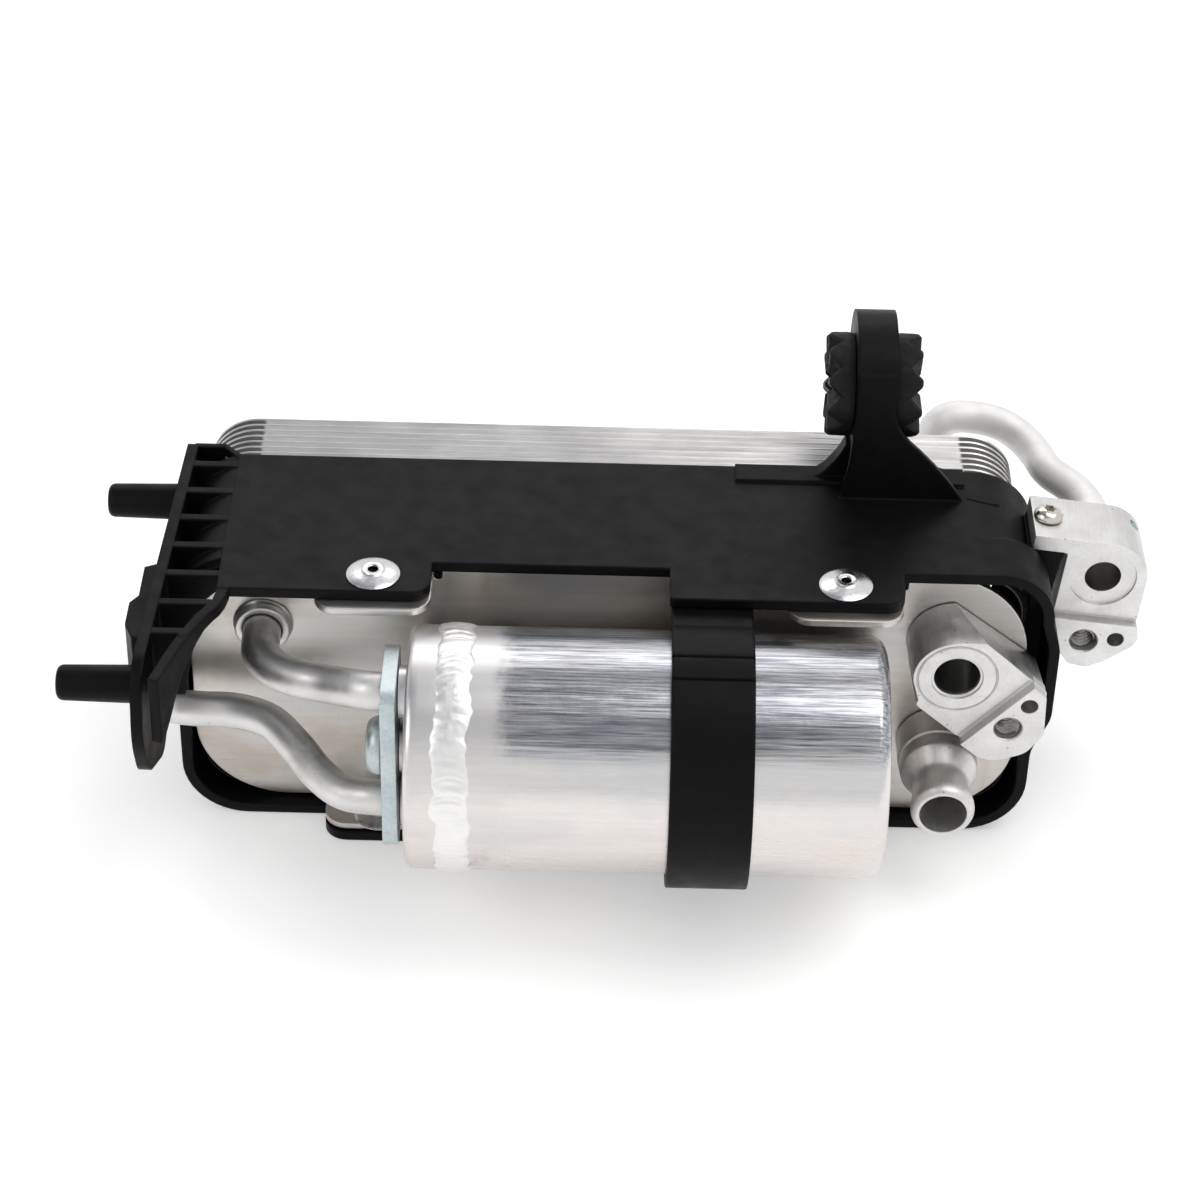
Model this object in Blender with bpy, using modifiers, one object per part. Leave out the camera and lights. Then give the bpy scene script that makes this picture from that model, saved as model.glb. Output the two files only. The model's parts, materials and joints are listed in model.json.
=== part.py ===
"""Liquid-cooled condenser with a receiver-drier bottle, held in one moulded bracket.

Metres, +Z up. X runs along the stack, Y from the front end plate to the back, and the origin lies on the
bracket's underside, below the middle of the front end plate's face.
"""

import math

import bmesh
import bpy
from mathutils import Matrix, Vector

# Running clearance between pieces that touch
SEAT = 0.0003

# Plate stack
CORE_WIDTH = 0.218
CORE_HEIGHT = 0.0783
CORE_CORNER = 0.0134
TRAY_COUNT = 23
TRAY_PITCH = 0.0025
TRAY_DEPTH = 0.005
TRAY_FLARE = 0.0018
TRAY_SHEET = 0.0005
CORNER_STEPS = 4
END_SHEET = 0.002
END_CORNER = 0.024

# Bracket band round the stack
BAND_WALL = 0.0028
BAND_GAP = 0.0008
BAND_FRONT = -0.0038
BAND_BACK = 0.042
BAND_BULGE = 0.0037

# Ports in the stack, and what passes through them
PORT_HIGH_X = 0.0895
PORT_LOW_X = 0.0876
PORT_HIGH_Z = 0.0618
PORT_LOW_Z = 0.0285
PORT_RADIUS = 0.007
PORT_SIDES = 8

# Front shelves of the bracket and the riveted tabs under and over them
SHELF_REACH = 0.0195
LEFT_SHELF = (-0.097, -0.0452)
RIGHT_SHELF = (0.0153, 0.0748)
LOW_SHELF = (-0.0745, 0.0745)
LOW_SHELF_REACH = 0.0105
SHELF_ROUND = 0.006
TAB_SPAN = (0.0450, 0.0745)
TAB_REACH = 0.020
LOW_TAB_REACH = 0.0135
TAB_ROUND = 0.006
SLIT_WIDTH = 0.0022
SLIT_DEPTH = 0.0045

# Rivets
RIVET_X = 0.0598
RIVET_Y = -0.0093
RIVET_HEAD = 0.00685
RIVET_HEAD_HEIGHT = 0.0019
RIVET_SHANK = 0.0024
RIVET_BULB = 0.0037
RIVET_HOLE = 0.0015

# Drier bottle, lying along X
BOTTLE_RADIUS = 0.0309
BOTTLE_Y = -0.034
BOTTLE_Z = 0.050
BOTTLE_LEFT = -0.0497
BOTTLE_RIGHT = 0.0702
BOTTLE_SHOULDER = 0.0042
BOTTLE_CHAMFER = 0.0016
WELD_X = -0.0379
WELD_WIDTH = 0.0096
WELD_PROUD = 0.0009

# Strap round the bottle
STRAP_LEFT = 0.0158
STRAP_WIDTH = 0.0206
STRAP_THICKNESS = 0.0031

# Flange plate on the bottle's left end
FLANGE_THICKNESS = 0.004
FLANGE_WIDTH = 0.0245
FLANGE_HEIGHT = 0.050
FLANGE_GAP = 0.0025
FLANGE_CORNER = 0.004
TUBE_SPREAD = 0.035
BOLT_HEAD = 0.0075
BOLT_HEAD_HEIGHT = 0.0044
BOLT_SHANK = 0.003
SPIGOT_RADIUS = 0.0068

# Tubes
GAS_TUBE = 0.0050
RETURN_TUBE = 0.0047
LIQUID_TUBE = 0.0046
TUBE_STEP = 0.004
COLLAR_WALL = 0.0019
COLLAR_HEIGHT = 0.0032

# Gas inlet block: a round boss with a lug that points down to the right
GAS_DEPTH = 0.0160
GAS_BOSS = 0.0118
GAS_BORE = 0.0059
GAS_LUG_ANGLE = math.radians(-42)
GAS_STEP = 0.003
GAS_STEP_FROM = 0.0134
GAS_THREAD = (0.0234, -0.0043)
GAS_PIN = (0.0221, 0.0046)
THREAD_RADIUS = 0.0035
PIN_RADIUS = 0.0022
PIN_DEPTH = 0.008

# Liquid outlet block, turned a little about its bore
LIQUID_X = 0.129
LIQUID_Z = 0.0715
LIQUID_FRONT = 0.015
LIQUID_DEPTH = 0.018
LIQUID_TURN = math.radians(6.5)
LIQUID_ROUND = 0.0133
LIQUID_BORE = 0.0047
LIQUID_SEAT = 0.0087
LIQUID_SEAT_DEPTH = 0.0008
LIQUID_STEP = 0.003
LIQUID_STEP_FROM = -0.0115
LIQUID_THREAD = (0.0005, -0.024)
LIQUID_PIN = (0.0085, -0.022)
WING_REACH = 0.0195
WING_THICKNESS = 0.0045
SCREW_HEAD = 0.0038
SCREW_HEAD_HEIGHT = 0.0024
SCREW_SHANK = 0.002
SCREW_LENGTH = 0.009

# Coolant nipples
NIPPLE_LENGTH = 0.031
NIPPLE_BORE = 0.0058
NIPPLE_BARREL = 0.0079
NIPPLE_COLLAR = 0.0102

# Arm and ring for the rubber bush
RING_X = 0.06745
RING_WIDTH = 0.0103
RING_Y = 0.0440
RING_Z = 0.1112
RING_RADIUS = 0.0196
RING_BORE = 0.0112
ARM_FRONT = 0.0290
ARM_PLATE = 0.0011
BUSH_RADIUS = 0.0136
BUSH_LENGTH = 0.0242
BUSH_HOLE = 0.0050
BUSH_GROOVES = 5
BUSH_GROOVE_DEPTH = 0.0016

# Ribbed flange on the left, with its pegs
SIDE_PLATE = 0.0029
SIDE_INNER = -0.1117
SIDE_TOE = math.radians(2.0)
SIDE_BACK = 0.049
WEB_PITCH = 0.01195
WEB_FIRST = 0.0376
WEB_COUNT = 7
WEB_THICKNESS = 0.0023
SHELF_EDGE = -0.0985
PEG_RADIUS = 0.0045
PEG_LENGTH = 0.0205
PEG_Z = 0.072
PEG_BACK_Y = 0.0385
PEG_FRONT_Y = -0.0390
PEG_ROUND = 0.0012

# Sizes that follow from those above
CORE_BOTTOM = BAND_WALL + BAND_GAP
CORE_MIDDLE = CORE_BOTTOM + CORE_HEIGHT / 2
CORE_TOP = CORE_BOTTOM + CORE_HEIGHT
BAND_TOP = CORE_TOP + BAND_GAP + BAND_WALL
BAND_HALF = CORE_WIDTH / 2 + BAND_GAP + BAND_WALL
BAND_CORNER = CORE_CORNER + BAND_GAP + BAND_WALL
SHELF_TOP = BAND_TOP
SHELF_FRONT = BAND_FRONT - SHELF_REACH
LOW_SHELF_FRONT = BAND_FRONT - LOW_SHELF_REACH
STACK_FRONT = END_SHEET + SEAT
STACK_BACK = STACK_FRONT + (TRAY_COUNT - 1) * TRAY_PITCH + TRAY_DEPTH
BACK_FACE = STACK_BACK + SEAT + END_SHEET
FLANGE_RIGHT = BOTTLE_LEFT - FLANGE_GAP
FLANGE_LEFT = FLANGE_RIGHT - FLANGE_THICKNESS
TUBE_HIGH_Z = BOTTLE_Z + TUBE_SPREAD / 2
TUBE_LOW_Z = BOTTLE_Z - TUBE_SPREAD / 2

model = bpy.data.collections.new("condenser_with_drier")
cutters = bpy.data.collections.new("cutters")


def clear_scene():
    for item in list(bpy.data.objects):
        bpy.data.objects.remove(item, do_unlink=True)
    bpy.context.scene.collection.children.link(model)
    bpy.context.scene.collection.children.link(cutters)


def material(name, colour, roughness, metallic):
    made = bpy.data.materials.new(name)
    made.use_nodes = True
    shader = made.node_tree.nodes["Principled BSDF"]
    shader.inputs["Base Color"].default_value = (*colour, 1)
    shader.inputs["Roughness"].default_value = roughness
    shader.inputs["Metallic"].default_value = metallic
    made.diffuse_color = (*colour, 1)
    return made


# Outlines

def arc(centre, radius, start, end, steps):
    """Points along an arc, with its angles in degrees."""
    angles = [math.radians(start + (end - start) * i / steps) for i in range(steps + 1)]
    return [(centre[0] + radius * math.cos(a), centre[1] + radius * math.sin(a)) for a in angles]


def circle(centre, radius, steps):
    return arc(centre, radius, 0, 360, steps)[:-1]


def filleted(corners, steps=4):
    """A closed outline from corners (x, y) or (x, y, fillet radius)."""
    points = []
    count = len(corners)
    for i, corner in enumerate(corners):
        here = Vector(corner[:2])
        radius = corner[2] if len(corner) > 2 else 0
        if radius == 0:
            points.append(tuple(here))
            continue
        before = (Vector(corners[i - 1][:2]) - here).normalized()
        after = (Vector(corners[(i + 1) % count][:2]) - here).normalized()
        half = before.angle(after) / 2
        reach = radius / math.tan(half)
        centre = here + (before + after).normalized() * radius / math.sin(half)
        first = here + before * reach - centre
        last = here + after * reach - centre
        turn = first.angle_signed(last)
        for k in range(steps + 1):
            points.append(tuple(centre + Matrix.Rotation(-turn * k / steps, 2) @ first))
    return points


def rectangle(low, high, radius=0.0, steps=4):
    corners = [(low[0], low[1]), (high[0], low[1]), (high[0], high[1]), (low[0], high[1])]
    return filleted([(x, y, radius) for x, y in corners], steps)


# Solids

def finish(made, look, smooth=40):
    made.data.materials.clear()
    made.data.materials.append(look)
    made.data.shade_smooth()
    made.data.set_sharp_from_angle(angle=math.radians(smooth))
    return made


def mesh_object(name, mesh, home=model):
    made = bpy.data.objects.new(name, mesh)
    home.objects.link(made)
    if home is cutters:
        made.hide_render = True
        made.display_type = "WIRE"
    return made


def from_bmesh(name, bm, home=model):
    mesh = bpy.data.meshes.new(name)
    bmesh.ops.recalc_face_normals(bm, faces=bm.faces)
    bm.to_mesh(mesh)
    bm.free()
    return mesh_object(name, mesh, home)


def curve_to_mesh(name, curve, frame, home):
    """A mesh object from a curve, with its loose caps welded to its sides."""
    guide = bpy.data.objects.new(name + "_curve", curve)
    bpy.context.scene.collection.objects.link(guide)
    bpy.context.view_layer.update()
    graph = bpy.context.evaluated_depsgraph_get()
    mesh = bpy.data.meshes.new_from_object(guide.evaluated_get(graph))
    bpy.data.objects.remove(guide, do_unlink=True)
    mesh.transform(frame)
    mesh.name = name
    bm = bmesh.new()
    bm.from_mesh(mesh)
    bmesh.ops.remove_doubles(bm, verts=bm.verts, dist=0.000001)
    bmesh.ops.recalc_face_normals(bm, faces=bm.faces)
    bm.to_mesh(mesh)
    bm.free()
    return mesh_object(name, mesh, home)


# Each frame turns a flat outline, drawn in local X and Y, into the plane named here
ACROSS_X = Matrix(((0, 0, 1, 0), (1, 0, 0, 0), (0, 1, 0, 0), (0, 0, 0, 1)))
ACROSS_Y = Matrix(((1, 0, 0, 0), (0, 0, -1, 0), (0, 1, 0, 0), (0, 0, 0, 1)))
ACROSS_Z = Matrix.Identity(4)


def extruded(name, loops, frame, low, high, home=model):
    """A flat outline, with any holes after it, extruded from low to high across its plane."""
    curve = bpy.data.curves.new(name, "CURVE")
    curve.dimensions = "2D"
    curve.fill_mode = "BOTH"
    curve.extrude = (high - low) / 2
    for loop in loops:
        spline = curve.splines.new("POLY")
        spline.points.add(len(loop) - 1)
        for point, (x, y) in zip(spline.points, loop):
            point.co = (x, y, 0, 1)
        spline.use_cyclic_u = True
    middle = (low + high) / 2
    shift = Matrix.Translation([middle * abs(part) for part in frame.col[2][:3]])
    return curve_to_mesh(name, curve, shift @ frame, home)


def cylinder(name, start, end, radius, steps=16, end_radius=None, home=model):
    """A round bar, or a cone, between two points."""
    start, end = Vector(start), Vector(end)
    bm = bmesh.new()
    bmesh.ops.create_cone(bm, cap_ends=True, segments=steps, radius1=radius,
                          radius2=radius if end_radius is None else end_radius,
                          depth=(end - start).length)
    turn = Vector((0, 0, 1)).rotation_difference(end - start).to_matrix().to_4x4()
    bmesh.ops.transform(bm, matrix=Matrix.Translation((start + end) / 2) @ turn, verts=bm.verts)
    return from_bmesh(name, bm, home)


def box(name, low, high, home=model):
    bm = bmesh.new()
    bmesh.ops.create_cube(bm, size=1)
    low, high = Vector(low), Vector(high)
    size = Matrix.Diagonal((*(high - low), 1))
    bmesh.ops.transform(bm, matrix=Matrix.Translation((low + high) / 2) @ size, verts=bm.verts)
    return from_bmesh(name, bm, home)


def turned(name, profile, frame, steps=32, home=model):
    """A profile of (radius, height) points, turned about local Z and placed by a frame."""
    bm = bmesh.new()
    rings = [bm.verts.new((radius, 0, height)) for radius, height in profile]
    edges = [bm.edges.new(pair) for pair in zip(rings, rings[1:])]
    if profile[0][0] > 0:
        edges.append(bm.edges.new((rings[-1], rings[0])))
    bmesh.ops.spin(bm, geom=rings + edges, cent=(0, 0, 0), axis=(0, 0, 1),
                   angle=math.tau, steps=steps, use_merge=True)
    bmesh.ops.remove_doubles(bm, verts=bm.verts, dist=0.000001)
    bmesh.ops.transform(bm, matrix=frame, verts=bm.verts)
    return from_bmesh(name, bm, home)


def pipe(name, route, radius, look):
    """A tube along a smooth curve through the route's own points, square at both ends."""
    curve = bpy.data.curves.new(name, "CURVE")
    curve.dimensions = "3D"
    curve.bevel_depth = radius
    curve.bevel_resolution = 4
    curve.use_fill_caps = True
    points = smooth_route(route, TUBE_STEP)
    spline = curve.splines.new("POLY")
    spline.points.add(len(points) - 1)
    for point, place in zip(spline.points, points):
        point.co = (*place, 1)
    return finish(curve_to_mesh(name, curve, Matrix.Identity(4), model), look, 60)


def smooth_route(route, step):
    """Points a step apart on a centripetal curve through the route."""
    places = [Vector(p) for p in route]
    places = [2 * places[0] - places[1]] + places + [2 * places[-1] - places[-2]]
    found = []
    for a, b, c, d in zip(places, places[1:], places[2:], places[3:]):
        times = [0.0]
        for p, q in ((a, b), (b, c), (c, d)):
            times.append(times[-1] + math.sqrt((q - p).length))
        count = max(1, round((c - b).length / step))
        for k in range(count):
            t = times[1] + (times[2] - times[1]) * k / count
            found.append(centripetal(a, b, c, d, times, t))
    found.append(places[-2])
    return found


def centripetal(a, b, c, d, times, t):
    def mix(p, q, s, e):
        return p * ((e - t) / (e - s)) + q * ((t - s) / (e - s))

    ab = mix(a, b, times[0], times[1])
    bc = mix(b, c, times[1], times[2])
    cd = mix(c, d, times[2], times[3])
    return mix(mix(ab, bc, times[0], times[2]), mix(bc, cd, times[1], times[3]), times[1], times[2])


def boolean(target, tools, operation):
    """One exact Boolean of the target with a group of tool solids."""
    group = bpy.data.collections.new(f"{target.name}_{operation.lower()}")
    cutters.children.link(group)
    for tool in tools:
        for home in list(tool.users_collection):
            home.objects.unlink(tool)
        group.objects.link(tool)
        tool.hide_render = True
        tool.display_type = "WIRE"
    modifier = target.modifiers.new(operation.lower(), "BOOLEAN")
    modifier.operation = operation
    modifier.solver = "EXACT"
    modifier.operand_type = "COLLECTION"
    modifier.collection = group
    return target


def along(axis, place):
    """The frame whose local Z points along an axis, at a place."""
    turn = Vector((0, 0, 1)).rotation_difference(Vector(axis)).to_matrix().to_4x4()
    return Matrix.Translation(place) @ turn


# The plate stack

def port_places():
    return [(side * x, z) for side in (-1, 1)
            for x, z in ((PORT_HIGH_X, PORT_HIGH_Z), (PORT_LOW_X, PORT_LOW_Z))]


def port_cutters(name, places, radius, low, high, steps=PORT_SIDES):
    return [cylinder(f"{name}_{i}", (x, low, z), (x, high, z), radius, steps, home=cutters)
            for i, (x, z) in enumerate(places)]


def core_outline(inset, corner):
    half = CORE_WIDTH / 2 - inset
    return rectangle((-half, CORE_BOTTOM + inset), (half, CORE_TOP - inset), corner, CORNER_STEPS)


def tray_mesh():
    """An open dish: a flat pan at the back and a rim that flares towards the front."""
    rim = core_outline(0, CORE_CORNER)
    pan = core_outline(TRAY_FLARE, CORE_CORNER - TRAY_FLARE)
    bm = bmesh.new()
    front = [bm.verts.new((x, 0, z)) for x, z in rim]
    back = [bm.verts.new((x, TRAY_DEPTH, z)) for x, z in pan]
    bm.faces.new(back)
    ring = [bm.edges.new(pair) for pair in zip(front, front[1:] + front[:1])]
    bmesh.ops.bridge_loops(bm, edges=ring + [e for e in bm.edges if e not in ring])
    bmesh.ops.recalc_face_normals(bm, faces=bm.faces)
    mesh = bpy.data.meshes.new("core_plate")
    bm.to_mesh(mesh)
    bm.free()
    return mesh


def core_plates(look):
    mesh = tray_mesh()
    mesh.materials.append(look)
    holes = port_cutters("core_port", port_places(), PORT_RADIUS, -0.01, BACK_FACE + 0.01)
    group = bpy.data.collections.new("core_ports")
    cutters.children.link(group)
    for hole in holes:
        cutters.objects.unlink(hole)
        group.objects.link(hole)
    for number in range(TRAY_COUNT):
        plate = mesh_object(f"core_plate_{number + 1:02d}", mesh)
        plate.location.y = STACK_FRONT + number * TRAY_PITCH
        sheet = plate.modifiers.new("sheet", "SOLIDIFY")
        sheet.thickness = TRAY_SHEET
        sheet.offset = -1
        sheet.use_even_offset = True
        ports = plate.modifiers.new("ports", "BOOLEAN")
        ports.operation = "DIFFERENCE"
        ports.solver = "EXACT"
        ports.operand_type = "COLLECTION"
        ports.collection = group


def riveting_tab(name, low_x, high_x, reach, low_z, high_z):
    plan = filleted([(low_x, END_SHEET), (low_x, -reach, TAB_ROUND),
                     (high_x, -reach, TAB_ROUND), (high_x, END_SHEET)])
    return extruded(name, [plan], ACROSS_Z, low_z, high_z, cutters)


def front_plate(look):
    """The end plate: a flat sheet with tabs folded forward along its top and bottom edges."""
    outline = rectangle((-CORE_WIDTH / 2, CORE_BOTTOM), (CORE_WIDTH / 2, CORE_TOP), END_CORNER, 7)
    plate = extruded("front_plate", [outline], ACROSS_Y, 0, END_SHEET)
    high = BAND_TOP - BAND_WALL - SEAT
    low = BAND_WALL + SEAT
    tabs, slits = [], []
    for side in (-1, 1):
        inner, outer = sorted(side * x for x in TAB_SPAN)
        tabs.append(riveting_tab(f"tab_high_{side}", inner, outer, TAB_REACH, high - END_SHEET, high))
        tabs.append(riveting_tab(f"tab_low_{side}", inner, outer, LOW_TAB_REACH, low, low + END_SHEET))
        for edge, way in ((inner, -1), (outer, 1)):
            for middle in (CORE_TOP, CORE_BOTTOM):
                ends = sorted((edge, edge + way * SLIT_WIDTH))
                slits.append(box(f"slit_{side}_{way}_{middle:.2f}",
                                 (ends[0], -0.001, middle - SLIT_DEPTH),
                                 (ends[1], END_SHEET + 0.001, middle + SLIT_DEPTH), cutters))
    boolean(plate, tabs, "UNION")
    holes = port_cutters("front_port", [(PORT_HIGH_X, PORT_HIGH_Z)], GAS_BORE, -0.01, 0.01, 16)
    holes += port_cutters("tube_port", [(-PORT_HIGH_X, PORT_HIGH_Z)], GAS_TUBE + SEAT, -0.01, 0.01, 16)
    holes += port_cutters("nipple_port", [(PORT_LOW_X, PORT_LOW_Z)], NIPPLE_BORE, -0.01, 0.01, 16)
    rivets = [cylinder(f"tab_rivet_hole_{side}", (side * RIVET_X, RIVET_Y, -0.01),
                       (side * RIVET_X, RIVET_Y, BAND_TOP + 0.01), RIVET_SHANK + SEAT, 12, home=cutters)
              for side in (-1, 1)]
    boolean(plate, slits + holes + rivets, "DIFFERENCE")
    return finish(plate, look)


def back_plate(look):
    """The flat end sheet at the back, as narrow as the last dish's pan."""
    outline = core_outline(TRAY_FLARE, CORE_CORNER - TRAY_FLARE)
    plate = extruded("back_plate", [outline], ACROSS_Y, STACK_BACK + SEAT, BACK_FACE)
    low, high = STACK_BACK - 0.01, BACK_FACE + 0.01
    holes = port_cutters("liquid_port", [(PORT_HIGH_X, PORT_HIGH_Z)], LIQUID_TUBE + SEAT, low, high, 16)
    holes += port_cutters("return_port", [(-PORT_HIGH_X, PORT_HIGH_Z)], RETURN_TUBE + SEAT, low, high, 16)
    holes += port_cutters("coolant_port", [(-PORT_LOW_X, PORT_LOW_Z)], NIPPLE_BORE, low, high, 16)
    boolean(plate, holes, "DIFFERENCE")
    return finish(plate, look)


# The bracket

def band_outline(inset, bulge=0.0):
    """The band's rounded rectangle, with the bulge that clears the gas block's lug on the right."""
    half = BAND_HALF - inset
    low, high = inset, BAND_TOP - inset
    corner = BAND_CORNER - inset
    right = [(half, low, corner), (half, high, corner)]
    if bulge:
        right[1:1] = [(half, 0.030, 0.004), (half + bulge, 0.038, 0.004),
                      (half + bulge, 0.060, 0.004), (half, 0.067, 0.004)]
    return filleted([(-half, low, corner)] + right + [(-half, high, corner)], 5)


def shelves():
    """The front shelves: two above, cut back between and beside them, and one below."""
    made = []
    for name, (low_x, high_x), rounds in (("shelf_left", LEFT_SHELF, (0.003, SHELF_ROUND)),
                                          ("shelf_right", RIGHT_SHELF, (0.0008, SHELF_ROUND))):
        plan = filleted([(low_x, 0), (low_x, SHELF_FRONT, rounds[0]),
                         (high_x, SHELF_FRONT, rounds[1]), (high_x, 0)])
        made.append(extruded(name, [plan], ACROSS_Z, SHELF_TOP - BAND_WALL, SHELF_TOP, cutters))
    low_x, high_x = LOW_SHELF
    plan = filleted([(low_x, 0), (low_x, LOW_SHELF_FRONT, SHELF_ROUND),
                     (high_x, LOW_SHELF_FRONT, SHELF_ROUND), (high_x, 0)])
    made.append(extruded("shelf_low", [plan], ACROSS_Z, 0, BAND_WALL, cutters))
    return made


def side_flange():
    """The toed-out side plate on the left with its rounded tongue, webs, pegs and stop pad."""
    outline = filleted([(SIDE_BACK, SHELF_TOP, 0.004), (-0.046, SHELF_TOP, 0.010), (-0.0495, 0.066, 0.02),
                        (-0.045, 0.051, 0.012), (-0.027, 0.041, 0.008), (-0.0195, 0.050, 0.004),
                        (SIDE_BACK, 0.054, 0.006)])
    toe = Matrix.Translation((SIDE_INNER, 0, 0)) @ Matrix.Rotation(-SIDE_TOE, 4, "Z")
    plate = extruded("side_plate", [outline], ACROSS_X, -SIDE_PLATE, 0, cutters)
    plate.data.transform(toe)
    made = [plate]
    for y in (PEG_BACK_Y, PEG_FRONT_Y):
        root = SIDE_INNER + math.tan(SIDE_TOE) * y - 0.0012
        tip = root - SIDE_PLATE - PEG_LENGTH + 0.0012
        profile = [(0, 0), (PEG_RADIUS + 0.0004, 0), (PEG_RADIUS, root - tip - PEG_ROUND),
                   (PEG_RADIUS - PEG_ROUND * 0.35, root - tip - PEG_ROUND * 0.35),
                   (PEG_RADIUS - PEG_ROUND, root - tip), (0, root - tip)]
        made.append(turned(f"peg_{y:.3f}", profile, along((-1, 0, 0), (root, y, PEG_Z)), 16, cutters))
    pad = filleted([(-0.1150, 0.0020), (-0.1150, -0.0300), (-0.1190, -0.0290), (-0.1212, -0.0240, 0.002),
                    (-0.1212, -0.0150, 0.001), (-0.1192, -0.0120), (-0.1192, 0.0000)], 2)
    made.append(extruded("stop_pad", [pad], ACROSS_Z, 0.062, 0.079, cutters))
    return made


def flange_webs():
    """The ladder of webs between the shelf's edge and the side plate, and the diagonal wall in front."""
    made = []
    for number in range(WEB_COUNT):
        y = WEB_FIRST - number * WEB_PITCH
        right = SHELF_EDGE + 0.001 if y > SHELF_FRONT else SHELF_EDGE - 0.0035 - (SHELF_FRONT - y) * 0.45
        left = SIDE_INNER + math.tan(SIDE_TOE) * y - 0.001
        bottom = BAND_TOP - 0.016
        made.append(box(f"web_{number}", (left, y - WEB_THICKNESS / 2, bottom),
                        (right, y + WEB_THICKNESS / 2, SHELF_TOP - 0.0002), cutters))
    wall = [(-0.0968, -0.019), (-0.0968, -0.0225), (-0.1015, -0.0275), (-0.1035, -0.0305),
            (-0.1130, -0.0490), (-0.1150, -0.0470), (-0.1060, -0.0290), (-0.1035, -0.0250), (-0.0990, -0.0200)]
    made.append(extruded("diagonal_wall", [wall], ACROSS_Z, 0.0600, SHELF_TOP - 0.0003, cutters))
    floor = [(-0.0990, -0.0200), (-0.1035, -0.0270), (-0.1130, -0.0460), (-0.1130, BAND_FRONT + 0.002),
             (-0.0990, BAND_FRONT + 0.002)]
    made.append(extruded("pocket_floor", [floor], ACROSS_Z, 0.0660, 0.0682, cutters))
    return made


def bush_arm():
    """The gusseted arm that carries the bush ring above the back edge of the band."""
    low_x, high_x = RING_X - RING_WIDTH / 2, RING_X + RING_WIDTH / 2
    rise = math.sqrt(RING_RADIUS ** 2 - (RING_Y - ARM_FRONT) ** 2)
    kink = math.degrees(math.atan2(rise, ARM_FRONT - RING_Y))
    side = [(ARM_FRONT, SHELF_TOP - 0.001)]
    side += arc((RING_Y, RING_Z), RING_RADIUS, kink, -75, 14)
    side += [(BAND_BACK - 0.0004, SHELF_TOP - 0.001)]
    ring = extruded("arm_ring", [side], ACROSS_X, low_x, high_x, cutters)
    foot = SHELF_TOP - 0.001
    face = [(0.0599, foot), (0.0613, 0.0944), (0.0620, 0.1025), (low_x + 0.0001, RING_Z),
            (low_x + 0.0001, RING_Z + rise), (high_x - 0.0001, RING_Z + rise), (high_x - 0.0001, 0.1133),
            (0.0733, 0.1098), (0.0754, 0.1055), (0.0798, 0.1008), (0.0838, 0.0965), (0.0878, 0.0917),
            (0.0927, foot)]
    front = extruded("arm_face", [face], ACROSS_Y, ARM_FRONT - 0.0004, ARM_FRONT + ARM_PLATE, cutters)
    heel = [(0.0485, foot), (0.0485, SHELF_TOP), (0.0520, SHELF_TOP + 0.0002), (0.0542, 0.0866),
            (0.0573, 0.0898), (0.0600, 0.0941), (0.0612, 0.0968), (low_x + 0.0005, 0.0968),
            (high_x - 0.0005, 0.0968), (0.0752, 0.0948), (0.0800, 0.0905), (0.0858, 0.0872),
            (0.0910, SHELF_TOP + 0.0002), (0.0930, SHELF_TOP), (0.0930, foot)]
    rear = extruded("arm_heel", [heel], ACROSS_Y, 0.0372, BAND_BACK - 0.0003, cutters)
    rib = box("back_rib", (0.0326, 0.0349, SHELF_TOP - 0.001), (0.0955, BAND_BACK, SHELF_TOP + 0.0008), cutters)
    return [ring, front, rear, rib]


def block_ear():
    """The ear that the liquid block's wing is screwed to, with the web under it."""
    top = LIQUID_ROUND - WING_THICKNESS - SEAT
    ear = [(-0.0200, top), (-0.0126, top), (-0.0126, top - 0.0035), (-0.0142, top - 0.0110),
           (-0.0160, top - 0.0200), (-0.0215, top - 0.0200)]
    made = extruded("ear", [ear], ACROSS_Y, LIQUID_FRONT + 0.0005, LIQUID_FRONT + LIQUID_DEPTH - 0.0005,
                    cutters)
    made.data.transform(liquid_frame())
    return made


def bracket(look):
    """A solid block of the band's outline joined to all that stands on it, then emptied for the stack."""
    seam = 0.0125
    body = extruded("bracket", [band_outline(0)], ACROSS_Y, seam - 0.0005, BAND_BACK)
    front = extruded("band_front", [band_outline(0, BAND_BULGE)], ACROSS_Y, BAND_FRONT, seam + 0.0005, cutters)
    boolean(body, [front] + shelves() + side_flange() + flange_webs() + bush_arm() + [block_ear()], "UNION")
    holes = [extruded("stack_space", [band_outline(BAND_WALL)], ACROSS_Y, 0, BAND_BACK + 0.01, cutters),
             extruded("bulge_space", [band_outline(BAND_WALL, BAND_BULGE)], ACROSS_Y,
                      BAND_FRONT - 0.0005, seam, cutters),
             cylinder("ring_bore", (RING_X - 0.03, RING_Y, RING_Z), (RING_X + 0.03, RING_Y, RING_Z),
                      RING_BORE, 24, home=cutters)]
    for side in (-1, 1):
        holes.append(cylinder(f"shelf_rivet_hole_{side}", (side * RIVET_X, RIVET_Y, -0.01),
                              (side * RIVET_X, RIVET_Y, BAND_TOP + 0.01), RIVET_SHANK + SEAT, 12,
                              home=cutters))
    screw = cylinder("ear_screw_hole", (-0.0163, 0, 0), (-0.0163, 0, LIQUID_ROUND), SCREW_SHANK + SEAT, 12,
                     home=cutters)
    screw.data.transform(liquid_frame() @ Matrix.Translation((0, LIQUID_FRONT + LIQUID_DEPTH / 2, 0)))
    boolean(body, holes + [screw], "DIFFERENCE")
    return finish(body, look)


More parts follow.
